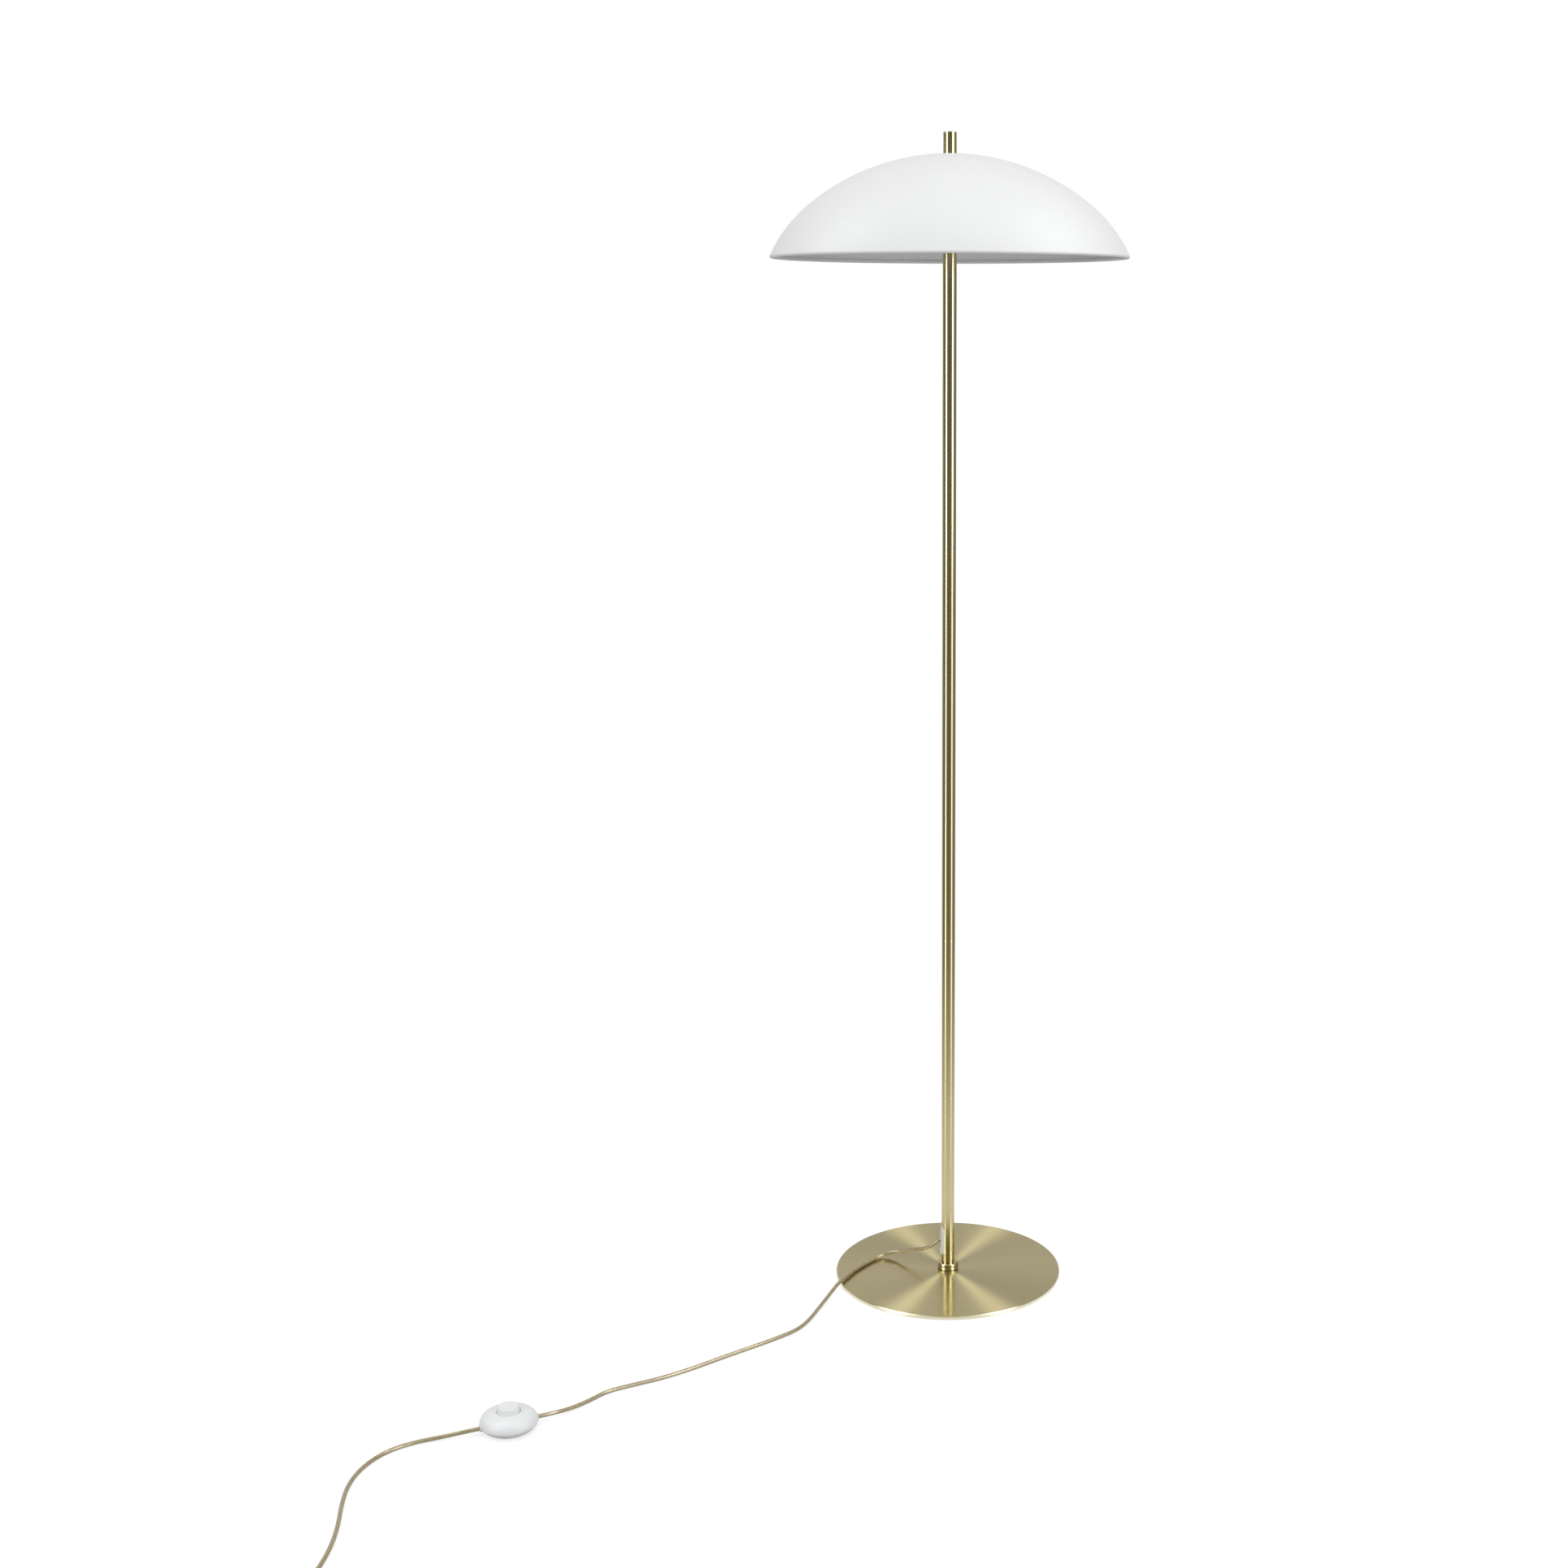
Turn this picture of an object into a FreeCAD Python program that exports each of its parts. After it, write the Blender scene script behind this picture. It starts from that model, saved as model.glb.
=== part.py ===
import FreeCAD, Part
import math
import os
import re
import Sketcher

# Mushroom floor lamp: a thin round foot plate, a three-piece pole, a domed sheet-metal shade
# held by a tube-like finial, two small lampholders under the dome, and a round cord with a
# foot switch and a two-pin plug.
# Frame: the origin is on the floor on the pole's axis, +Z is up, the cord leaves towards -X
# and -Y. Sizes are millimetres and degrees.

Vector = FreeCAD.Vector
doc = FreeCAD.newDocument("mushroom_floor_lamp")

# ---------------------------------------------------------------------------
# Driving dimensions: name, value, what it is
# ---------------------------------------------------------------------------
SIZES = [
    # foot
    ("base_radius", 140.0, "foot plate, outside"),
    ("base_thick", 4.0, "foot plate, thickness"),
    ("base_top_bevel", 0.8, "foot plate, upper edge"),
    ("base_low_bevel", 0.4, "foot plate, lower edge"),
    ("pad_thick", 1.0, "soft pad under the plate"),
    ("pad_inset", 4.0, "pad edge behind the plate edge"),
    ("pad_hole_radius", 12.0, "way to the foot screw"),
    ("screw_radius", 4.0, "foot screw, shank"),
    ("screw_head_radius", 7.0, "foot screw, countersunk head"),
    ("screw_reach", 21.0, "foot screw, overall length"),
    ("screw_socket", 2.9, "hexagon socket, across the corners / 2"),
    ("screw_socket_depth", 2.2, "hexagon socket, depth"),
    ("screw_clear", 0.15, "countersink and hole round the screw"),
    ("thread_clear", 0.05, "a thread in its nut or insert"),
    ("collar_radius", 13.3, "foot collar, over its beads"),
    ("bead_height", 4.4, "foot collar, one bead"),
    ("collar_clear", 0.15, "collar round the pole"),
    # pole
    ("pole_radius", 8.0, "tubes, outside"),
    ("pole_wall", 1.0, "tubes, wall"),
    ("lower_length", 428.0, "lower tube"),
    ("middle_length", 416.5, "middle tube"),
    ("upper_length", 416.5, "upper tube"),
    ("tube_bevel", 0.3, "edge of a tube end"),
    ("press_clear", 0.05, "insert in its tube"),
    ("insert_length", 18.0, "insert in a tube end"),
    ("thread_radius", 5.0, "hollow threaded studs and nipples"),
    ("stud_reach", 15.0, "stud below its tube"),
    ("stud_bore", 3.3, "cord way through a stud"),
    # cord outlet
    ("outlet_height", 43.3, "middle of the opening above the floor"),
    ("outlet_slot_height", 12.0, "slot in the tube"),
    ("outlet_slot_width", 6.4, "slot in the tube"),
    ("guard_height", 42.0, "middle of the guard above the floor"),
    ("guard_length", 40.0, "guard, end to end"),
    ("guard_width", 14.0, "guard, side to side"),
    ("guard_thick", 1.3, "guard plate"),
    ("guard_clear", 0.1, "guard off the tube"),
    ("guard_hole_height", 9.6, "opening in the guard"),
    ("guard_hole_width", 5.6, "opening in the guard"),
    ("guard_screw_height", 27.0, "guard screw above the floor"),
    ("guard_boss_radius", 3.3, "boss round the guard screw"),
    ("guard_boss_proud", 0.9, "boss over the guard plate"),
    ("guard_screw_radius", 1.2, "guard screw, shank"),
    ("guard_screw_head", 2.3, "guard screw, head radius"),
    ("guard_screw_head_height", 1.1, "guard screw, head"),
    ("guard_screw_reach", 4.5, "guard screw, shank length"),
    # hub and shade fixing
    ("hub_radius", 14.0, "hub cup, outside"),
    ("hub_length", 26.0, "hub cup"),
    ("hub_wall", 2.5, "hub cup, side"),
    ("hub_floor", 3.0, "hub cup, floor"),
    ("hub_bevel", 1.0, "hub edges"),
    ("arm_rise", 14.0, "lampholder axis over the hub's foot"),
    ("cap_thick", 3.0, "hub cap"),
    ("cap_spigot", 4.0, "hub cap, spigot in the cup"),
    ("cap_boss", 3.0, "hub cap, boss below the spigot"),
    ("cap_boss_radius", 6.0, "hub cap, boss"),
    ("hub_nut_flats", 14.0, "ring nuts, across flats"),
    ("hub_nut_height", 2.5, "ring nuts"),
    ("block_length", 13.0, "terminal block"),
    ("block_width", 11.0, "terminal block"),
    ("block_height", 7.5, "terminal block"),
    ("block_rise", 9.5, "terminal block over the hub's foot"),
    ("rod_radius", 3.0, "shade rod"),
    ("rod_hang", 1.0, "shade rod below the cap's spigot"),
    ("shade_rise", 89.0, "crown of the shade over the pole"),
    ("finial_radius", 7.6, "finial"),
    ("finial_length", 24.0, "finial"),
    ("finial_edge", 1.2, "rounding of the finial's top"),
    ("finial_bore", 14.0, "finial, depth of its thread"),
    ("gasket_radius", 9.0, "washer under the shade"),
    ("gasket_thick", 1.0, "washer under the shade"),
    ("shade_nut_flats", 10.0, "nut under the shade, across flats"),
    ("shade_nut_height", 5.0, "nut under the shade"),
    ("seat_gap", 0.2, "dome over its flat washer"),
    # shade
    ("rim_radius", 205.0, "shade, outside at the rim"),
    ("shade_depth", 112.5, "shade, crown to rim"),
    ("crown_radius", 256.0, "shade, arc of the crown"),
    ("crown_angle", 38.8, "shade, angle where the shoulder begins"),
    ("shade_wall", 1.0, "shade, sheet"),
    ("bead_radius", 2.2, "shade, rolled rim"),
    ("shade_hole", 3.5, "shade, hole for the rod"),
    # lampholders and bulbs
    ("holder_start", 17.4, "lampholder cap from the pole's axis"),
    ("arm_end", 25.2, "end of a side nipple from the pole's axis"),
    ("arm_start", 8.8, "start of a side nipple from the pole's axis"),
    ("holder_radius", 13.5, "lampholder, outside"),
    ("holder_cap_length", 14.0, "lampholder cap"),
    ("holder_length", 44.0, "lampholder, overall"),
    ("holder_wall", 1.4, "lampholder cap, wall"),
    ("holder_bore", 9.2, "lampholder sleeve, inside"),
    ("holder_lap", 6.0, "sleeve inside the cap"),
    ("core_length", 8.0, "contact block"),
    ("core_clear", 0.1, "contact block in its sleeve"),
    ("shell_radius", 7.1, "brass screw shell, inside"),
    ("shell_wall", 0.5, "brass screw shell"),
    ("shell_length", 18.0, "brass screw shell"),
    ("contact_radius", 1.5, "centre contact"),
    ("contact_height", 1.5, "centre contact"),
    ("lead_radius", 0.9, "insulated single leads"),
    ("lead_offset", 2.0, "leads beside the axis"),
    ("bulb_cap_radius", 6.9, "bulb cap"),
    ("bulb_cap_length", 17.0, "bulb cap with its tip"),
    ("bulb_length", 78.0, "bulb, overall"),
    ("globe_radius", 22.5, "bulb globe"),
    ("globe_wall", 1.2, "bulb globe, wall"),
    ("globe_cut", 11.0, "globe's edge below its widest"),
    # foot switch
    ("switch_radius", 31.5, "foot switch, outside"),
    ("switch_foot", 1.0, "rubber feet"),
    ("foot_radius", 4.0, "rubber feet"),
    ("foot_circle", 13.0, "rubber feet from the middle"),
    ("switch_split", 9.0, "height of the joint between the shells"),
    ("switch_flat_radius", 22.0, "flat underside"),
    ("shoulder_out", 27.4, "cover, where its side turns over"),
    ("shoulder_up", 17.0, "cover, height of that place"),
    ("switch_top", 21.4, "cover at the button"),
    ("switch_wall", 1.8, "shells"),
    ("button_radius", 12.3, "button, at its foot"),
    ("button_top_radius", 10.9, "button, at its top"),
    ("button_cone_foot", 20.2, "height where the button's cone begins"),
    ("button_top", 27.2, "height of the button's top"),
    ("button_edge", 1.0, "rounding of the button's top"),
    ("button_wall", 1.7, "button"),
    ("button_clear", 0.4, "button in its collar"),
    ("button_travel", 3.5, "press of the button"),
    ("button_flange", 1.6, "button's stop flange, height"),
    ("flange_lap", 1.5, "button's stop flange beyond its side"),
    ("collar_foot", 17.0, "underside of the cover's guide collar"),
    ("stop_gap", 0.3, "flange below the guide collar"),
    ("post_radius", 3.0, "button's post"),
    ("works_length", 16.0, "switch works"),
    ("works_width", 12.0, "switch works"),
    ("works_top", 13.6, "top of the switch works"),
    ("works_bore", 3.4, "hole for the post"),
    ("works_bore_depth", 3.6, "hole for the post"),
    ("post_gap", 0.4, "post over the works at rest"),
    ("spring_radius", 4.5, "return spring, mid-wire"),
    ("spring_wire", 0.7, "return spring, wire"),
    ("spring_turns", 5.0, "return spring, turns"),
    ("grommet_radius", 3.6, "cord grommet"),
    ("grommet_length", 5.2, "cord grommet"),
    ("grommet_clear", 0.05, "grommet in the shells and on the cord"),
    ("grommet_proud", 0.7, "grommet beyond the shells"),
    ("cord_entry", 7.5, "height of the cord in the switch"),
    ("boss_offset", 20.0, "case screws from the middle"),
    ("boss_radius", 3.3, "case screw bosses"),
    ("case_screw", 1.4, "case screws, shank"),
    ("case_screw_head", 2.5, "case screws, head"),
    ("case_screw_sink", 2.6, "case screws, depth of the head"),
    ("case_screw_reach", 10.5, "case screws, length with the head"),
    # cord and plug
    ("cord_radius", 2.3, "round two-core cord"),
    ("exit_angle", 50.0, "cord at the outlet, from straight down"),
    ("exit_bend", 25.0, "bend of the cord inside the pole"),
    ("exit_out", 10.5, "where the free cord begins, from the axis"),
    ("exit_height", 41.9, "where the free cord begins, above the floor"),
    ("sleeve_length", 22.0, "tapered strain relief of the plug"),
    ("sleeve_tip", 3.0, "strain relief, small end radius"),
    ("sleeve_root", 3.9, "strain relief, large end radius"),
    ("sleeve_groove", 0.6, "strain relief, depth of its grooves"),
    ("plug_length", 35.0, "plug body"),
    ("plug_width", 26.6, "plug body"),
    ("plug_thick", 13.8, "plug body"),
    ("pin_radius", 2.0, "plug pins"),
    ("pin_core", 1.5, "plug pins inside their sleeves"),
    ("pin_reach", 19.0, "plug pins in front of the body"),
    ("pin_sleeve", 10.0, "insulated part of the pins"),
    ("pin_sleeve_radius", 1.9, "insulated part of the pins"),
    ("pin_pitch", 18.6, "between the pins"),
    ("pin_root", 8.0, "pins inside the body"),
    ("coil_outer", 31.0, "coil, outermost turn to mid-cord"),
    ("coil_pitch", 5.3, "coil, between turns in a layer"),
    ("coil_layer", 5.1, "coil, between layers"),
]

# Where the foot switch stands, and how its cord runs through it
SWITCH_X = -472.5
SWITCH_Y = -403.0
SWITCH_TURN = 25.3

# Route of the free cord, outlet to switch: over the foot plate, down its edge, along the floor
ON_PLATE = 7.35
ON_FLOOR = 2.35
OVER_EDGE = 11.9
LAMP_ROUTE = [
    (-43.0, 17.0, 22.5),
    (-80.0, 37.0, 7.6),
    (-111.0, -3.0, ON_PLATE),
    (-126.5, -40.0, OVER_EDGE),
    (-136.0, -65.0, OVER_EDGE),
    (-146.0, -88.0, 6.5),
    (-156.0, -113.0, 2.8),
    (-165.0, -143.0, ON_FLOOR),
    (-177.0, -169.0, ON_FLOOR),
    (-199.0, -190.5, ON_FLOOR),
    (-228.0, -215.0, ON_FLOOR),
    (-258.0, -239.5, ON_FLOOR),
    (-290.0, -267.5, ON_FLOOR),
    (-322.0, -291.0, ON_FLOOR),
    (-356.0, -309.0, ON_FLOOR),
    (-380.0, -323.0, ON_FLOOR),
    (-396.0, -344.5, ON_FLOOR),
    (-413.0, -364.5, 3.6),
]
# Route of the free cord, switch to coil
WALL_ROUTE = [
    (-540.0, -427.0, 3.4),
    (-568.0, -437.0, ON_FLOOR),
    (-592.0, -456.0, ON_FLOOR),
    (-608.0, -486.0, ON_FLOOR),
    (-614.0, -522.0, ON_FLOOR),
    (-610.0, -562.0, ON_FLOOR),
    (-602.0, -604.0, ON_FLOOR),
    (-598.5, -650.0, ON_FLOOR),
    (-603.0, -699.0, ON_FLOOR),
]
OUTLET_RUN = 19.0               # straight run of the cord at the outlet
END_RUN = 14.0                  # straight run of the cord beside the switch
COIL_X = -572.0
COIL_Y = -737.0
COIL_TURNS_IN = 2.5             # lower layer, spiralling in
COIL_TURNS_OUT = 2.75           # upper layer, spiralling out
CLIMB = 0.25                    # turns before and after the reversal in which the cord climbs
TAIL_RUN = 14.0                 # straight ends of the tail between the coil and the plug
PLUG_TURN = 14.0

# ---------------------------------------------------------------------------
# Sheet, formulas and general builders
# ---------------------------------------------------------------------------
sheet = doc.addObject("Spreadsheet::Sheet", "Sizes")
for row, (alias, number, note) in enumerate(SIZES, start=1):
    sheet.set(f"A{row}", alias)
    sheet.set(f"B{row}", str(number))
    sheet.set(f"C{row}", note)
    sheet.setAlias(f"B{row}", alias)
doc.recompute()

ALIASES = {alias for alias, number, note in SIZES}
NODES = []


def bound(formula):
    """The formula with every size read from the sheet."""
    return re.sub(
        r"[a-z_]+",
        lambda word: "Sizes." + word.group() if word.group() in ALIASES else word.group(),
        formula,
    )


def value(formula):
    """The formula's number now."""
    return float(sheet.evalExpression(bound(formula)))


def keep(item, name):
    """Names a finished sub-part and puts it on the list of those that are written."""
    item.Label = name
    NODES.append(item)
    return item


def origin_plane(body, role):
    for feature in body.Origin.OriginFeatures:
        if feature.Role == role:
            return feature


def arc(radius, turn):
    """Marks an arc in a profile: its radius, and 1 to turn left or -1 to turn right."""
    return ("arc", radius, turn)


def arc_geometry(start, end, radius, turn):
    """Arc of under a half circle from start to end. Also says which end the arc starts at."""
    chord = end - start
    half = chord.Length / 2
    side = Vector(-chord.y, chord.x, 0).normalize() * turn
    centre = (start + end) / 2 + side * math.sqrt(max(radius * radius - half * half, 0.0))
    first, last = (start, end) if turn > 0 else (end, start)
    angles = [math.atan2(p.y - centre.y, p.x - centre.x) for p in (first, last)]
    if angles[1] < angles[0]:
        angles[1] += 2 * math.pi
    circle = Part.Circle(centre, Vector(0, 0, 1), radius)
    return Part.ArcOfCircle(circle, *angles), (1, 2) if turn > 0 else (2, 1)


def tie(sketch, axis, edge, end, formula):
    """Holds one end of an edge at a distance from the sketch's origin along X or Y."""
    number = value(formula)
    if abs(number) < 1e-9:
        sketch.addConstraint(Sketcher.Constraint("PointOnObject", edge, end, -2 if axis == "X" else -1))
        return
    index = sketch.addConstraint(Sketcher.Constraint("Distance" + axis, -1, 1, edge, end, number))
    sketch.setExpression(f"Constraints[{index}]", bound(formula))


def draw(sketch, profile):
    """Draws a closed profile of corners, with arcs where the list says so."""
    corners = [item for item in profile if item[0] != "arc"]
    spots = [Vector(value(x), value(y), 0) for x, y in corners]
    joins = []
    place = -1
    for item, follower in zip(profile, profile[1:] + profile[:1]):
        if item[0] == "arc":
            continue
        place += 1
        start, end = spots[place], spots[(place + 1) % len(spots)]
        if follower[0] == "arc":
            shape, ends = arc_geometry(start, end, value(follower[1]), follower[2])
            edge = sketch.addGeometry(shape, False)
            index = sketch.addConstraint(Sketcher.Constraint("Radius", edge, value(follower[1])))
            sketch.setExpression(f"Constraints[{index}]", bound(follower[1]))
        else:
            ends = (1, 2)
            edge = sketch.addGeometry(Part.LineSegment(start, end), False)
        joins.append((edge, ends))
    for number, (edge, ends) in enumerate(joins):
        following, following_ends = joins[(number + 1) % len(joins)]
        sketch.addConstraint(
            Sketcher.Constraint("Coincident", edge, ends[1], following, following_ends[0])
        )
        tie(sketch, "X", edge, ends[0], corners[number][0])
        tie(sketch, "Y", edge, ends[0], corners[number][1])


def new_body(name, role, profile):
    """A body with one closed sketch on one of its own origin planes."""
    body = doc.addObject("PartDesign::Body", name)
    sketch = body.newObject("Sketcher::SketchObject", name + "_profile")
    sketch.AttachmentSupport = [(origin_plane(body, role), "")]
    sketch.MapMode = "FlatFace"
    draw(sketch, profile)
    sketch.Visibility = False
    return body, sketch


def turned(name, profile):
    """A turned piece: the profile gives radius and height, the axis is the body's own Z."""
    body, sketch = new_body(name, "XZ_Plane", profile)
    revolution = body.newObject("PartDesign::Revolution", name + "_turning")
    revolution.Profile = sketch
    revolution.ReferenceAxis = (sketch, ["V_Axis"])
    revolution.Angle = 360
    return body


def padded(name, role, profile, length, both_ways=True):
    """A prism of the profile, as long as the formula says."""
    body, sketch = new_body(name, role, profile)
    pad = body.newObject("PartDesign::Pad", name + "_pad")
    pad.Profile = sketch
    pad.Length = value(length)
    pad.setExpression("Length", bound(length))
    pad.Midplane = both_ways
    return body


def oblong(half_width, low, high):
    """Upright slot outline with round ends."""
    return [
        (half_width, f"({low}) + ({half_width})"),
        (half_width, f"({high}) - ({half_width})"),
        arc(half_width, 1),
        ("0", high),
        arc(half_width, 1),
        (f"-({half_width})", f"({high}) - ({half_width})"),
        (f"-({half_width})", f"({low}) + ({half_width})"),
        arc(half_width, 1),
        ("0", low),
        arc(half_width, 1),
    ]


def place(item, x="0", y="0", z="0", axis=None, angle=0.0):
    """Puts a piece where the formulas say, turned about an axis."""
    turn = FreeCAD.Rotation(axis or Vector(0, 0, 1), angle)
    item.Placement = FreeCAD.Placement(Vector(value(x), value(y), value(z)), turn)
    for letter, formula in (("x", x), ("y", y), ("z", z)):
        if formula != "0":
            item.setExpression(f"Placement.Base.{letter}", bound(formula))
    return item


def cylinder(name, radius, length, x="0", y="0", z="0", axis=None, angle=0.0):
    item = doc.addObject("Part::Cylinder", name)
    item.setExpression("Radius", bound(radius))
    item.setExpression("Height", bound(length))
    return place(item, x, y, z, axis, angle)


def box(name, length, width, height, x="0", y="0", z="0"):
    """A block with its middle at x, y and its foot at z."""
    item = doc.addObject("Part::Box", name)
    item.setExpression("Length", bound(length))
    item.setExpression("Width", bound(width))
    item.setExpression("Height", bound(height))
    return place(item, f"({x}) - ({length}) / 2", f"({y}) - ({width}) / 2", z)


def hexagon(name, flats, height, x="0", y="0", z="0", axis=None, angle=0.0):
    item = doc.addObject("Part::Prism", name)
    item.Polygon = 6
    item.setExpression("Circumradius", bound(f"({flats}) / sqrt(3)"))
    item.setExpression("Height", bound(height))
    return place(item, x, y, z, axis, angle)


def cut(name, base, *tools):
    """The base with the tools taken away."""
    item = doc.addObject("Part::Cut", name)
    item.Base = base
    item.Tool = tools[0] if len(tools) == 1 else fuse(name + "_tools", *tools)
    return item


def fuse(name, *pieces):
    item = doc.addObject("Part::MultiFuse", name)
    item.Shapes = list(pieces)
    return item


def common(name, *pieces):
    item = doc.addObject("Part::MultiCommon", name)
    item.Shapes = list(pieces)
    return item


def group(name, pieces):
    """Alike pieces that share a node and stay separate solids."""
    item = doc.addObject("Part::Compound", name)
    item.Links = list(pieces)
    return item


Y_AXIS = Vector(0, 1, 0)
X_AXIS = Vector(1, 0, 0)

# Heights that several pieces share
BASE_TOP = "(pad_thick + base_thick)"
LOWER_JOINT = f"({BASE_TOP} + lower_length)"
UPPER_JOINT = f"({LOWER_JOINT} + middle_length)"
POLE_TOP = f"({UPPER_JOINT} + upper_length)"
SHADE_TOP = f"({POLE_TOP} + shade_rise)"
BORE = "(pole_radius - pole_wall)"
INSERT = "(pole_radius - pole_wall - press_clear)"

# ---------------------------------------------------------------------------
# Foot
# ---------------------------------------------------------------------------


def make_foot():
    keep(turned("base_pad", [
        ("pad_hole_radius", "0"),
        ("base_radius - pad_inset", "0"),
        ("base_radius - pad_inset", "pad_thick"),
        ("pad_hole_radius", "pad_thick"),
    ]), "base_pad")
    sink = "(screw_head_radius + screw_clear)"
    hole = "(screw_radius + screw_clear)"
    keep(turned("base_plate", [
        (sink, "pad_thick"),
        ("base_radius - base_low_bevel", "pad_thick"),
        ("base_radius", "pad_thick + base_low_bevel"),
        ("base_radius", f"{BASE_TOP} - base_top_bevel"),
        ("base_radius - base_top_bevel", BASE_TOP),
        (hole, BASE_TOP),
        (hole, f"pad_thick + {sink} - {hole}"),
    ]), "base_plate")
    screw = turned("foot_screw_blank", [
        ("0", "pad_thick"),
        ("screw_head_radius", "pad_thick"),
        ("screw_radius", "pad_thick + screw_head_radius - screw_radius"),
        ("screw_radius", "pad_thick + screw_reach - 1"),
        ("screw_radius - 1", "pad_thick + screw_reach"),
        ("0", "pad_thick + screw_reach"),
    ])
    socket = hexagon(
        "foot_screw_socket", "screw_socket * sqrt(3)", "screw_socket_depth + 1", z="pad_thick - 1"
    )
    keep(cut("foot_screw", screw, socket), "foot_screw")
    keep(turned("foot_insert", [
        ("screw_radius + thread_clear", BASE_TOP),
        (INSERT, BASE_TOP),
        (INSERT, f"{BASE_TOP} + insert_length"),
        ("screw_radius + thread_clear", f"{BASE_TOP} + insert_length"),
    ]), "foot_insert")
    inner = "(pole_radius + collar_clear)"
    half = "(bead_height / 2)"
    waist = f"(collar_radius - {half})"
    keep(turned("foot_collar", [
        (inner, BASE_TOP),
        (waist, BASE_TOP),
        arc(half, 1),
        ("collar_radius", f"{BASE_TOP} + {half}"),
        arc(half, 1),
        (waist, f"{BASE_TOP} + bead_height"),
        arc(half, 1),
        ("collar_radius", f"{BASE_TOP} + 3 * {half}"),
        arc(half, 1),
        (waist, f"{BASE_TOP} + 2 * bead_height"),
        (inner, f"{BASE_TOP} + 2 * bead_height"),
    ]), "foot_collar")


# ---------------------------------------------------------------------------
# Pole
# ---------------------------------------------------------------------------


def tube(name, low, high):
    """A drawn tube with its end edges broken, so that the joints show as fine lines."""
    return turned(name, [
        (BORE, low),
        ("pole_radius - tube_bevel", low),
        ("pole_radius", f"{low} + tube_bevel"),
        ("pole_radius", f"{high} - tube_bevel"),
        ("pole_radius - tube_bevel", high),
        (BORE, high),
    ])


def insert(name, high):
    """A threaded bush pressed into the top of a tube."""
    thread = "(thread_radius + thread_clear)"
    keep(turned(name, [
        (thread, f"{high} - insert_length"),
        (INSERT, f"{high} - insert_length"),
        (INSERT, high),
        (thread, high),
    ]), name)


def stud(name, low):
    """A hollow threaded stud pressed into the foot of a tube."""
    keep(turned(name, [
        ("stud_bore", f"{low} - stud_reach"),
        ("thread_radius - 0.5", f"{low} - stud_reach"),
        ("thread_radius", f"{low} - stud_reach + 0.5"),
        ("thread_radius", low),
        (INSERT, low),
        (INSERT, f"{low} + insert_length"),
        ("stud_bore", f"{low} + insert_length"),
    ]), name)


def make_pole():
    blank = tube("lower_tube_blank", BASE_TOP, LOWER_JOINT)
    slot = padded("outlet_slot", "YZ_Plane", oblong(
        "outlet_slot_width / 2",
        "outlet_height + 1.5 - outlet_slot_height / 2",
        "outlet_height + 1.5 + outlet_slot_height / 2",
    ), "pole_radius + 2", both_ways=False)
    slot.Placement.Base.x = value("-(pole_radius + 2)")
    slot.setExpression("Placement.Base.x", bound("-(pole_radius + 2)"))
    hole = cylinder(
        "guard_screw_hole", "guard_screw_radius + thread_clear", "pole_radius",
        z="guard_screw_height", axis=Y_AXIS, angle=-90,
    )
    keep(cut("lower_tube", blank, slot, hole), "lower_tube")
    keep(tube("middle_tube", LOWER_JOINT, UPPER_JOINT), "middle_tube")
    keep(tube("upper_tube", UPPER_JOINT, POLE_TOP), "upper_tube")
    insert("lower_tube_insert", LOWER_JOINT)
    stud("middle_tube_stud", LOWER_JOINT)
    insert("middle_tube_insert", UPPER_JOINT)
    stud("upper_tube_stud", UPPER_JOINT)
    insert("upper_tube_insert", POLE_TOP)


def make_outlet():
    """The clear guard that lines the cord outlet, bent to the tube and held by one screw."""
    inside = "(pole_radius + guard_clear)"
    outside = f"({inside} + guard_thick)"
    low, high = "(guard_height - guard_length / 2)", "(guard_height + guard_length / 2)"
    ring = cut(
        "guard_ring",
        cylinder("guard_outside", outside, "guard_length", z=low),
        cylinder("guard_inside", inside, "guard_length + 2", z=f"{low} - 1"),
    )
    plate = padded("guard_outline", "YZ_Plane", oblong("guard_width / 2", low, high), "20", both_ways=False)
    plate.Placement.Base.x = -20
    face = f"({outside} + guard_boss_proud)"
    boss = cut(
        "guard_boss",
        cylinder(
            "guard_boss_blank", "guard_boss_radius", face,
            z="guard_screw_height", axis=Y_AXIS, angle=-90,
        ),
        cylinder("guard_boss_seat", inside, "guard_length + 2", z=f"{low} - 1"),
    )
    opening = padded("guard_opening", "YZ_Plane", oblong(
        "guard_hole_width / 2",
        "outlet_height - guard_hole_height / 2",
        "outlet_height + guard_hole_height / 2",
    ), "20", both_ways=False)
    opening.Placement.Base.x = -20
    hole = cylinder(
        "guard_hole", "guard_screw_radius + thread_clear", "20",
        z="guard_screw_height", axis=Y_AXIS, angle=-90,
    )
    saddle = common("guard_saddle", ring, plate)
    keep(cut("outlet_guard", fuse("guard_blank", saddle, boss), opening, hole), "outlet_guard")
    head = "guard_screw_head_height"
    keep(place(turned("guard_screw", [
        ("0", "-guard_screw_reach"),
        ("guard_screw_radius", "-guard_screw_reach"),
        ("guard_screw_radius", "0"),
        ("guard_screw_head", "0"),
        ("guard_screw_head", f"{head} / 2"),
        ("guard_screw_head - 0.6", head),
        ("0", head),
    ]), x=f"-{face}", z="guard_screw_height", axis=Y_AXIS, angle=-90), "guard_screw")


# ---------------------------------------------------------------------------
# Hub under the shade, and what holds the shade
# ---------------------------------------------------------------------------


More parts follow.
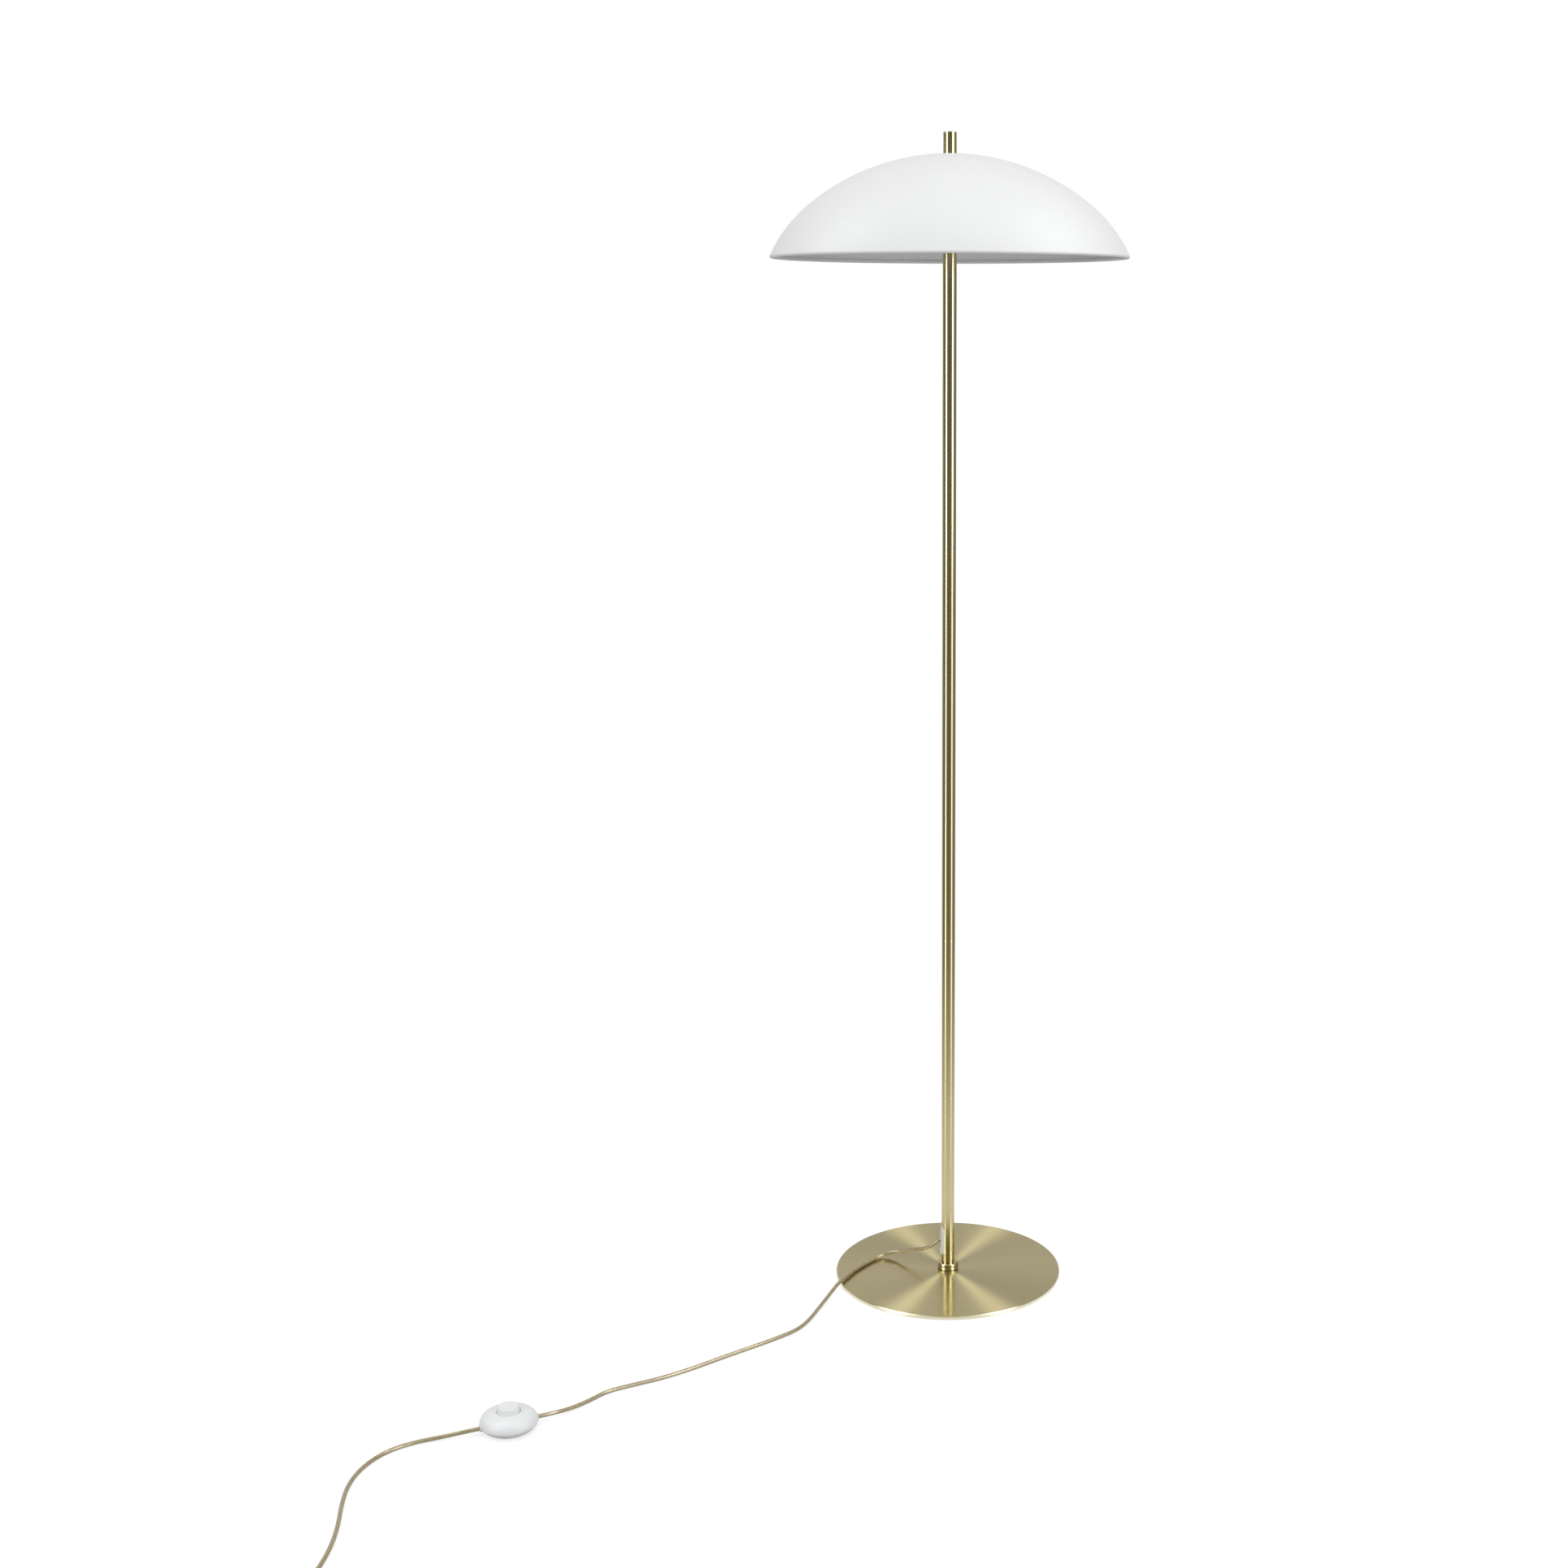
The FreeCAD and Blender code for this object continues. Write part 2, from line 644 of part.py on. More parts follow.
def ring_nut(name, flats, bore, height, **spot):
    """A thin hexagon nut round a threaded tube."""
    blank = hexagon(name + "_hexagon", flats, height, **spot)
    hole = cylinder(name + "_bore", bore, height, **spot)
    return cut(name + "_ring", blank, hole)


def make_hub():
    top = f"({POLE_TOP} + hub_length)"
    cavity = "(hub_radius - hub_wall)"
    way = "(thread_radius + thread_clear)"
    cup = turned("hub_cup_blank", [
        (way, POLE_TOP),
        ("hub_radius - hub_bevel", POLE_TOP),
        ("hub_radius", f"{POLE_TOP} + hub_bevel"),
        ("hub_radius", top),
        (cavity, top),
        (cavity, f"{POLE_TOP} + hub_floor"),
        (way, f"{POLE_TOP} + hub_floor"),
    ])
    port = cylinder(
        "hub_ports", way, "2 * hub_radius + 2", x="-hub_radius - 1",
        z=f"{POLE_TOP} + arm_rise", axis=Y_AXIS, angle=90,
    )
    keep(cut("hub_cup", cup, port), "hub_cup")
    keep(turned("hub_nipple", [
        ("stud_bore", f"{POLE_TOP} - stud_reach"),
        ("thread_radius", f"{POLE_TOP} - stud_reach"),
        ("thread_radius", f"{POLE_TOP} + hub_floor + hub_nut_height + 1"),
        ("stud_bore", f"{POLE_TOP} + hub_floor + hub_nut_height + 1"),
    ]), "hub_nipple")
    keep(ring_nut(
        "hub_nut", "hub_nut_flats", way, "hub_nut_height", z=f"{POLE_TOP} + hub_floor"
    ), "hub_nut")
    keep(box(
        "terminal_block", "block_length", "block_width", "block_height", z=f"{POLE_TOP} + block_rise"
    ), "terminal_block")
    thread = "(rod_radius + thread_clear)"
    keep(turned("hub_cap", [
        (thread, f"{top} - cap_spigot - cap_boss"),
        ("cap_boss_radius", f"{top} - cap_spigot - cap_boss"),
        ("cap_boss_radius", f"{top} - cap_spigot"),
        (f"{cavity} - press_clear", f"{top} - cap_spigot"),
        (f"{cavity} - press_clear", top),
        ("hub_radius", top),
        ("hub_radius", f"{top} + cap_thick - hub_bevel"),
        ("hub_radius - hub_bevel", f"{top} + cap_thick"),
        (thread, f"{top} + cap_thick"),
    ]), "hub_cap")


def make_shade_fixing():
    low = f"({POLE_TOP} + hub_length - cap_spigot - rod_hang)"
    high = f"({SHADE_TOP} + finial_bore - 1)"
    keep(turned("shade_rod", [
        ("0", low),
        ("rod_radius", low),
        ("rod_radius", f"{high} - 0.5"),
        ("rod_radius - 0.5", high),
        ("0", high),
    ]), "shade_rod")
    way = "(rod_radius + thread_clear)"
    gasket_top = f"({SHADE_TOP} - shade_wall - seat_gap)"
    gasket_low = f"({gasket_top} - gasket_thick)"
    keep(turned("shade_gasket", [
        (way, gasket_low),
        ("gasket_radius", gasket_low),
        ("gasket_radius", gasket_top),
        (way, gasket_top),
    ]), "shade_gasket")
    keep(ring_nut(
        "shade_nut", "shade_nut_flats", way, "shade_nut_height",
        z=f"{gasket_low} - shade_nut_height",
    ), "shade_nut")
    finial_top = f"({SHADE_TOP} + finial_length)"
    keep(turned("finial", [
        (way, SHADE_TOP),
        ("finial_radius", SHADE_TOP),
        ("finial_radius", f"{finial_top} - finial_edge"),
        arc("finial_edge", 1),
        ("finial_radius - finial_edge", finial_top),
        ("0", finial_top),
        ("0", f"{SHADE_TOP} + finial_bore"),
        (way, f"{SHADE_TOP} + finial_bore"),
    ]), "finial")


def make_shade():
    """Spun dome: a wide crown arc, a tighter tangent shoulder arc, and a rim rolled inwards."""
    sine, cosine = "sin(crown_angle * 1 deg)", "cos(crown_angle * 1 deg)"
    rim = f"({SHADE_TOP} - shade_depth)"
    crown_centre = f"({SHADE_TOP} - crown_radius)"
    joint = (f"(crown_radius * {sine})", f"({crown_centre} + crown_radius * {cosine})")
    across, drop = f"({joint[0]} - rim_radius)", f"({joint[1]} - {rim})"
    shoulder = f"(({across}^2 + {drop}^2) / (2 * ({across} * {sine} + {drop} * {cosine})))"
    centre = (f"({joint[0]} - {shoulder} * {sine})", f"({joint[1]} - {shoulder} * {cosine})")
    inward = (
        f"((rim_radius - {centre[0]}) / {shoulder})",
        f"(({rim} - {centre[1]}) / {shoulder})",
    )
    inner_joint = (
        f"((crown_radius - shade_wall) * {sine})",
        f"({crown_centre} + (crown_radius - shade_wall) * {cosine})",
    )
    dome = turned("shade_dome", [
        ("shade_hole", f"{crown_centre} + sqrt((crown_radius - shade_wall)^2 - shade_hole^2)"),
        arc("crown_radius - shade_wall", -1),
        inner_joint,
        arc(f"{shoulder} - shade_wall", -1),
        (f"rim_radius - shade_wall * {inward[0]}", f"{rim} - shade_wall * {inward[1]}"),
        ("rim_radius", rim),
        arc(shoulder, 1),
        joint,
        arc("crown_radius", 1),
        ("shade_hole", f"{crown_centre} + sqrt(crown_radius^2 - shade_hole^2)"),
    ])
    bead = doc.addObject("Part::Torus", "shade_bead")
    bead.setExpression("Radius1", bound(f"rim_radius - bead_radius * {inward[0]}"))
    bead.setExpression("Radius2", bound("bead_radius"))
    place(bead, z=f"{rim} - bead_radius * {inward[1]}")
    keep(fuse("shade", dome, bead), "shade")


# ---------------------------------------------------------------------------
# Side lampholders and bulbs, one set to the right (+X) and one to the left
# ---------------------------------------------------------------------------
HOLDER_FOOT = "(holder_cap_length - holder_lap)"
BULB_TIP = f"({HOLDER_FOOT} + core_length + contact_height)"
GLOBE_MID = f"({BULB_TIP} + bulb_length - globe_radius)"


PAIRS = {}


def beside(item, side, start, pair=None, name=None):
    """Lays a piece along +X or -X, its foot as far from the pole's axis as the formula says.

    A piece that has a twin on the other side joins it in the named pair.
    """
    place(
        item, x=start if side > 0 else f"-({start})", z=f"{POLE_TOP} + arm_rise",
        axis=Y_AXIS, angle=90 * side,
    )
    if pair:
        PAIRS.setdefault(pair, []).append(item)
    else:
        keep(item, name)


def make_lampholder(side, name):
    beside(turned("arm_nipple_" + name, [
        ("stud_bore", "0"),
        ("thread_radius", "0"),
        ("thread_radius", "arm_end - arm_start"),
        ("stud_bore", "arm_end - arm_start"),
    ]), side, "arm_start", pair="arm_nipples")
    beside(
        ring_nut("arm_nut_" + name, "hub_nut_flats", "thread_radius + thread_clear", "hub_nut_height"),
        side, "hub_radius + seat_gap", pair="arm_nuts",
    )
    inside = "(holder_radius - holder_wall)"
    beside(turned("holder_cap_" + name, [
        ("thread_radius + thread_clear", "0"),
        ("holder_radius - 3", "0"),
        ("holder_radius", "3"),
        ("holder_radius", "holder_cap_length"),
        (inside, "holder_cap_length"),
        (inside, "4"),
        ("thread_radius + thread_clear", "4"),
    ]), side, "holder_start", name="holder_cap_" + name)
    lap = f"({inside} - core_clear)"
    beside(turned("holder_sleeve_" + name, [
        ("holder_bore", HOLDER_FOOT),
        (lap, HOLDER_FOOT),
        (lap, "holder_cap_length"),
        ("holder_radius", "holder_cap_length"),
        ("holder_radius", "holder_length - 5"),
        ("holder_radius - 1", "holder_length - 4"),
        ("holder_radius - 1", "holder_length"),
        ("holder_bore", "holder_length"),
    ]), side, "holder_start", name="holder_sleeve_" + name)
    core = "(holder_bore - core_clear)"
    beside(turned("contact_block_" + name, [
        ("0", HOLDER_FOOT),
        (core, HOLDER_FOOT),
        (core, f"{HOLDER_FOOT} + core_length"),
        ("0", f"{HOLDER_FOOT} + core_length"),
    ]), side, "holder_start", pair="contact_blocks")
    beside(turned("centre_contact_" + name, [
        ("0", f"{HOLDER_FOOT} + core_length"),
        ("contact_radius", f"{HOLDER_FOOT} + core_length"),
        ("contact_radius", f"{BULB_TIP} - 0.5"),
        ("contact_radius - 0.5", BULB_TIP),
        ("0", BULB_TIP),
    ]), side, "holder_start", pair="centre_contacts")
    beside(turned("screw_shell_" + name, [
        ("shell_radius", f"{HOLDER_FOOT} + core_length"),
        ("shell_radius + shell_wall", f"{HOLDER_FOOT} + core_length"),
        ("shell_radius + shell_wall", f"{HOLDER_FOOT} + core_length + shell_length"),
        ("shell_radius", f"{HOLDER_FOOT} + core_length + shell_length"),
    ]), side, "holder_start", pair="screw_shells")


def make_bulb(side, name):
    """Opal globe bulb: metal screw cap, plastic body and a thin globe."""
    cap_top = f"({BULB_TIP} + bulb_cap_length)"
    beside(turned("bulb_cap_" + name, [
        ("0", BULB_TIP),
        ("2", BULB_TIP),
        ("3", f"{BULB_TIP} + 1.2"),
        ("bulb_cap_radius", f"{BULB_TIP} + 3"),
        ("bulb_cap_radius", cap_top),
        ("0", cap_top),
    ]), side, "holder_start", name="bulb_cap_" + name)
    edge = f"({GLOBE_MID} - globe_cut)"
    edge_radius = "sqrt(globe_radius^2 - globe_cut^2)"
    beside(turned("bulb_body_" + name, [
        ("0", cap_top),
        ("bulb_cap_radius + 0.6", cap_top),
        ("bulb_cap_radius + 0.9", f"{cap_top} + 5"),
        arc("30", -1),
        (edge_radius, edge),
        ("0", edge),
    ]), side, "holder_start", name="bulb_body_" + name)
    inner = "(globe_radius - globe_wall)"
    beside(turned("bulb_globe_" + name, [
        (f"sqrt({inner}^2 - globe_cut^2)", edge),
        (edge_radius, edge),
        arc("globe_radius", 1),
        ("globe_radius", GLOBE_MID),
        arc("globe_radius", 1),
        ("0", f"{GLOBE_MID} + globe_radius"),
        ("0", f"{GLOBE_MID} + {inner}"),
        arc(inner, -1),
        (inner, GLOBE_MID),
        arc(inner, -1),
    ]), side, "holder_start", name="bulb_globe_" + name)


def make_hub_leads():
    """Single leads from the terminal block through the side nipples to the contact blocks."""
    length = f"(holder_start + {HOLDER_FOOT} - block_length / 2)"
    leads = []
    for side in (1, -1):
        for beside_axis in (1, -1):
            sign = "" if side > 0 else "-"
            leads.append(cylinder(
                f"hub_lead_{len(leads) + 1}", "lead_radius", length,
                x=f"{sign}block_length / 2", y=f"{beside_axis} * lead_offset",
                z=f"{POLE_TOP} + arm_rise", axis=Y_AXIS, angle=90 * side,
            ))
    keep(group("hub_leads", leads), "hub_leads")


# ---------------------------------------------------------------------------
# Foot switch, modelled about its own axis with the cord along its X, then set on the floor
# ---------------------------------------------------------------------------


def on_floor(item, name):
    """Sets a piece of the foot switch where the switch stands."""
    turn = FreeCAD.Rotation(Vector(0, 0, 1), SWITCH_TURN)
    item.Placement = FreeCAD.Placement(Vector(SWITCH_X, SWITCH_Y, 0), turn).multiply(item.Placement)
    return keep(item, name)


def boss_posts(name, radius, length, z):
    return [
        cylinder(f"{name}_{number}", radius, length, y=f"{sign}boss_offset", z=z)
        for number, sign in enumerate(("", "-"), start=1)
    ]


def make_switch_shells():
    side = "(switch_split - switch_foot)"
    inner_side = f"({side} - switch_wall)"
    tray = turned("switch_tray", [
        ("0", "switch_foot"),
        ("switch_flat_radius", "switch_foot"),
        arc("13", 1),
        ("switch_radius", "switch_split"),
        ("switch_radius - switch_wall", "switch_split"),
        arc("11.2", -1),
        ("switch_flat_radius", "switch_foot + switch_wall"),
        ("0", "switch_foot + switch_wall"),
    ])
    floor = "(switch_foot + switch_wall)"
    bore = cylinder(
        "switch_tray_cord_way", "grommet_radius + grommet_clear", "2 * switch_radius + 4",
        x="-switch_radius - 2", z="cord_entry", axis=Y_AXIS, angle=90,
    )
    shell = cut(
        "switch_base_blank",
        fuse(
            "switch_base_solid", tray,
            *boss_posts("tray_boss", "boss_radius", f"switch_split - {floor} + 0.5", f"{floor} - 0.5"),
        ),
        bore,
        *boss_posts("tray_hole", "case_screw + 0.2", "switch_split + 2", "-1"),
        *boss_posts("tray_sink", "case_screw_head + 0.2", "case_screw_sink + 1", "switch_foot - 1"),
    )
    on_floor(shell, "switch_base")
    guide = "(button_radius + button_clear)"
    ring = f"({guide} + switch_wall)"
    cap = turned("switch_lid", [
        ("switch_radius - switch_wall", "switch_split"),
        ("switch_radius", "switch_split"),
        arc("12.5", 1),
        ("shoulder_out", "shoulder_up"),
        arc("24", 1),
        (f"{guide} + 0.6", "switch_top"),
        (guide, "switch_top - 0.6"),
        (guide, "collar_foot"),
        (ring, "collar_foot"),
        (ring, "switch_top - switch_wall - 0.9"),
        arc("22.2", -1),
        ("shoulder_out - 1.3", "shoulder_up - 1.4"),
        arc("10.7", -1),
    ])
    lid = cut(
        "switch_cover_blank",
        fuse(
            "switch_cover_solid", cap,
            *boss_posts("lid_boss", "boss_radius", "shoulder_up - switch_split + 1", "switch_split"),
        ),
        cylinder(
            "switch_lid_cord_way", "grommet_radius + grommet_clear", "2 * switch_radius + 4",
            x="-switch_radius - 2", z="cord_entry", axis=Y_AXIS, angle=90,
        ),
        *boss_posts("lid_hole", "case_screw + thread_clear", "case_screw_reach - 3", "switch_split - 1"),
    )
    on_floor(lid, "switch_cover")


def make_button():
    flange_top = "(collar_foot - stop_gap)"
    flange_low = f"({flange_top} - button_flange)"
    ceiling = "(button_top - button_wall)"
    inner = "(button_radius - button_wall)"
    on_floor(turned("switch_button_blank", [
        ("0", "works_top + post_gap"),
        ("post_radius", "works_top + post_gap"),
        ("post_radius", ceiling),
        ("button_top_radius - button_wall", ceiling),
        (inner, "button_cone_foot"),
        (inner, flange_low),
        ("button_radius + flange_lap", flange_low),
        ("button_radius + flange_lap", flange_top),
        ("button_radius", flange_top),
        ("button_radius", "button_cone_foot"),
        ("button_top_radius + 0.25", "button_top - button_edge"),
        arc("button_edge", 1),
        ("button_top_radius - button_edge + 0.2", "button_top"),
        ("0", "button_top"),
    ]), "switch_button")


def make_switch_inside():
    floor = "(switch_foot + switch_wall)"
    works = cut(
        "switch_works_blank",
        box("switch_works_block", "works_length", "works_width", f"works_top - {floor}", z=floor),
        cylinder("switch_works_bore", "works_bore", "works_bore_depth + 1", z="works_top - works_bore_depth"),
    )
    on_floor(works, "switch_works")
    on_floor(make_spring(), "switch_spring")
    grip = "(grommet_length - grommet_proud)"
    mouth = "(switch_radius - 0.1 + grommet_proud)"
    grommets = []
    leads = []
    for number, side in enumerate((1, -1), start=1):
        sign = "" if side > 0 else "-"
        ring = turned(f"switch_grommet_{number}", [
            ("cord_radius + grommet_clear", "0"),
            ("grommet_radius", "0"),
            ("grommet_radius", grip),
            ("grommet_radius - 0.5", "grommet_length"),
            ("cord_radius + grommet_clear", "grommet_length"),
        ])
        grommets.append(place(
            ring, x=f"{sign}({mouth} - grommet_length)", z="cord_entry", axis=Y_AXIS, angle=90 * side,
        ))
        stub = f"({mouth} - grommet_length - 1)"
        leads.append(cylinder(
            f"cord_end_{number}", "cord_radius", "grommet_length + 1",
            x=f"{sign}{stub}", z="cord_entry", axis=Y_AXIS, angle=90 * side,
        ))
        for strand in (1, -1):
            leads.append(cylinder(
                f"cord_core_{number}_{strand + 2}", "lead_radius", f"{stub} - works_length / 2",
                x=f"{sign}works_length / 2", y=f"{strand} * 1.15", z="cord_entry",
                axis=Y_AXIS, angle=90 * side,
            ))
    on_floor(group("switch_grommet_pair", grommets), "switch_grommets")
    on_floor(group("switch_lead_set", leads), "switch_leads")
    screws = []
    for number, sign in enumerate(("", "-"), start=1):
        screw = turned(f"case_screw_{number}", [
            ("0", "case_screw_sink - 1.6"),
            ("case_screw_head", "case_screw_sink - 1.6"),
            ("case_screw_head", "case_screw_sink"),
            ("case_screw", "case_screw_sink"),
            ("case_screw", "case_screw_reach"),
            ("0", "case_screw_reach"),
        ])
        screws.append(place(screw, y=f"{sign}boss_offset", z="switch_foot"))
    on_floor(group("switch_screw_pair", screws), "switch_screws")
    feet = []
    for number in range(3):
        angle = math.radians(120 * number + 30)
        feet.append(cylinder(
            f"switch_foot_{number + 1}", "foot_radius", "switch_foot",
            x=f"foot_circle * {math.cos(angle):.6f}", y=f"foot_circle * {math.sin(angle):.6f}",
        ))
    on_floor(group("switch_foot_set", feet), "switch_feet")


def make_spring():
    """Return spring of round wire on the works, round the button's post."""
    wire = value("spring_wire")
    low = value("works_top") + wire / 2
    high = value("button_top - button_wall") - wire / 2
    pitch = (high - low) / value("spring_turns")
    path = Part.makeHelix(pitch, high - low, value("spring_radius"))
    path.translate(Vector(0, 0, low))
    start = Vector(value("spring_radius"), 0, low)
    section = Part.Wire(Part.makeCircle(wire / 2, start, Vector(0, 1, 0)))
    coil = Part.Wire(path).makePipeShell([section], True, True)
    item = doc.addObject("Part::Feature", "spring_wire_coil")
    item.Shape = coil
    return item


# ---------------------------------------------------------------------------
# Cord: straight runs joined by tangent arcs
# ---------------------------------------------------------------------------


def rounded_path(points, name):
    """Edges of the route: every corner is an arc as large as its two runs allow."""
    edges = []
    radii = []
    begin = points[0]
    for before, corner, after in zip(points, points[1:], points[2:]):
        arrive, leave = corner - before, after - corner
        turn = arrive.getAngle(leave)
        trim = 0.45 * min(arrive.Length, leave.Length)
        radii.append(trim / math.tan(turn / 2))
        first = corner - Vector(arrive).normalize() * trim
        last = corner + Vector(leave).normalize() * trim
        chord = (first + last) / 2
        bulge = (last - first).Length / 2 * math.tan(turn / 4)
        middle = chord + Vector(corner - chord).normalize() * bulge
        edges.append(Part.LineSegment(begin, first).toShape())
        edges.append(Part.Arc(first, middle, last).toShape())
        begin = last
    edges.append(Part.LineSegment(begin, points[-1]).toShape())
    print(f"{name}: {len(radii)} bends, least radius {min(radii):.1f} mm")
    return edges


def biarc(start, start_way, end, end_way):
    """Two tangent arcs between two points, each given with its direction."""
    span = end - start
    ways = start_way + end_way
    a = 2 * (1 - start_way.dot(end_way))
    b = 2 * span.dot(ways)
    c = -span.dot(span)
    reach = (-b + math.sqrt(b * b - 4 * a * c)) / (2 * a) if a > 1e-9 else -c / b
    near, far = start + start_way * reach, end - end_way * reach
    joint = (near + far) / 2
    edges = []
    for first, corner, last in ((start, near, joint), (joint, far, end)):
        chord = (first + last) / 2
        turn = (corner - first).getAngle(last - corner)
        rise = (last - first).Length / 2 * math.tan(turn / 4)
        middle = chord + Vector(corner - chord).normalize() * rise
        edges.append(Part.Arc(first, middle, last).toShape())
    return edges


def tube_along(name, edges):
    """A solid round cord along the edges, with its volume held against section times length."""
    path = Part.Wire(edges)
    radius = value("cord_radius")
    first = edges[0]
    section = Part.Wire(Part.makeCircle(
        radius, first.valueAt(first.FirstParameter), first.tangentAt(first.FirstParameter)
    ))
    solid = path.makePipeShell([section], True, False)
    expected = math.pi * radius * radius * path.Length
    print(f"{name}: length {path.Length:.1f} mm, volume ratio {solid.Volume / expected:.4f}")
    item = doc.addObject("Part::Feature", name + "_tube")
    item.Shape = solid
    return keep(item, name)


def switch_spot(along, height):
    """A point on the foot switch's cord line, in the lamp's frame."""
    angle = math.radians(SWITCH_TURN)
    return Vector(SWITCH_X + along * math.cos(angle), SWITCH_Y + along * math.sin(angle), height)


def coil_point(turns):
    """Mid-cord point of the coil and the cord's direction there."""
    reversal = COIL_TURNS_IN
    pitch, layer = value("coil_pitch"), value("coil_layer")
    radius = value("coil_outer") - pitch * reversal + pitch * abs(turns - reversal)
    climb = min(max((turns - reversal + CLIMB) / (2 * CLIMB), 0.0), 1.0)
    height = ON_FLOOR + layer * climb * climb * (3 - 2 * climb)
    angle = math.pi + 2 * math.pi * turns
    around = Vector(-math.sin(angle), math.cos(angle), 0) * radius * 2 * math.pi
    outward = Vector(math.cos(angle), math.sin(angle), 0)
    swing = pitch * (0.0 if turns in (0.0, reversal) else math.copysign(1.0, turns - reversal))
    lift = layer * 6 * climb * (1 - climb) / (2 * CLIMB)
    way = around + outward * swing + Vector(0, 0, lift)
    return Vector(COIL_X, COIL_Y, height) + outward * radius, way.normalize()


def make_coil():
    """The put-away length: a round two-layer coil, spiralling in below and out above."""
    knots = int(round((COIL_TURNS_IN + COIL_TURNS_OUT) * 4))
    edges = []
    for knot in range(knots):
        edges += biarc(*coil_point(knot / 4), *coil_point((knot + 1) / 4))
    tube_along("cord_coil", edges)
    samples = []
    travelled = 0.0
    for edge in edges:
        for point in edge.discretize(13)[:-1]:
            samples.append((travelled + (point - edge.valueAt(edge.FirstParameter)).Length, point))
        travelled += edge.Length
    skip = 3 * math.pi * value("coil_pitch")
    gap = min(
        (b - a).Length
        for number, (here, a) in enumerate(samples)
        for there, b in samples[number + 1:]
        if there - here > skip
    )
    print(f"cord_coil: least gap to itself {gap - 2 * value('cord_radius'):.2f} mm")


def make_cords():
    angle = math.radians(value("exit_angle"))
    out = Vector(-math.sin(angle), 0, -math.cos(angle))
    outlet = Vector(-value("exit_out"), 0, value("exit_height"))
    bend = value("exit_bend")
    bend_end = outlet - out * ((value("exit_out") - bend * (1 - math.cos(angle))) / math.sin(angle))
    bend_start = Vector(0, 0, bend_end.z + bend * math.sin(angle))
    half = angle / 2
    bend_middle = Vector(-bend * (1 - math.cos(half)), 0, bend_start.z - bend * math.sin(half))
    top = Vector(0, 0, value(f"{POLE_TOP} + block_rise"))
    tube_along("pole_cord", [
        Part.LineSegment(outlet, bend_end).toShape(),
        Part.Arc(bend_end, bend_middle, bend_start).toShape(),
        Part.LineSegment(bend_start, top).toShape(),
    ])
    mouth = value("switch_radius - 0.1 + grommet_proud")
    entry = value("cord_entry")
    lamp_points = [outlet, outlet + out * OUTLET_RUN]
    lamp_points += [Vector(*point) for point in LAMP_ROUTE]
    lamp_points += [switch_spot(mouth + END_RUN, entry), switch_spot(mouth, entry)]
    tube_along("cord_lamp_to_switch", rounded_path(lamp_points, "cord_lamp_to_switch"))
    coil_start = coil_point(0.0)[0]
    wall_points = [switch_spot(-mouth, entry), switch_spot(-mouth - END_RUN, entry)]
    wall_points += [Vector(*point) for point in WALL_ROUTE]
    wall_points.append(coil_start)
    tube_along("cord_switch_to_coil", rounded_path(wall_points, "cord_switch_to_coil"))
    make_coil()
    coil_end, coil_way = coil_point(COIL_TURNS_IN + COIL_TURNS_OUT)
    sleeve = -value("sleeve_length")
    tail_points = [coil_end, coil_end + coil_way * TAIL_RUN, plug_spot(sleeve - TAIL_RUN), plug_spot(sleeve)]
    tube_along("cord_tail", rounded_path(tail_points, "cord_tail"))


# ---------------------------------------------------------------------------
# Plug, modelled along its own X and laid beside the coil
# ---------------------------------------------------------------------------
PLUG_X = -490.0
PLUG_Y = -750.0


def plug_spot(along):
    """A point on the plug's axis: 0 is where its body begins."""
    angle = math.radians(PLUG_TURN)
    height = value("plug_thick / 2") + 0.05
    return Vector(PLUG_X + along * math.cos(angle), PLUG_Y + along * math.sin(angle), height)


def on_plug_axis(item, name):
    turn = FreeCAD.Rotation(Vector(0, 0, 1), PLUG_TURN)
    item.Placement = FreeCAD.Placement(plug_spot(0.0), turn).multiply(item.Placement)
    return keep(item, name)


def stadium(along, width, thick):
    """Rounded-rectangle section across the plug's axis."""
    radius = 0.45 * thick
    flat, side = width / 2 - radius, thick / 2 - radius
    middle = radius * math.sqrt(0.5)
    corners = [(flat, side, 1, 1), (-flat, side, -1, 1), (-flat, -side, -1, -1), (flat, -side, 1, -1)]
    edges = []
    spots = []
    for y, z, sy, sz in corners:
        ends = [Vector(along, y + sy * radius, z), Vector(along, y, z + sz * radius)]
        if sy * sz < 0:
            ends.reverse()
        spots.append((ends[0], Vector(along, y + sy * middle, z + sz * middle), ends[1]))
    for number, (first, bulge, last) in enumerate(spots):
        edges.append(Part.Arc(first, bulge, last).toShape())
        edges.append(Part.LineSegment(last, spots[(number + 1) % 4][0]).toShape())
    return Part.Wire(edges)


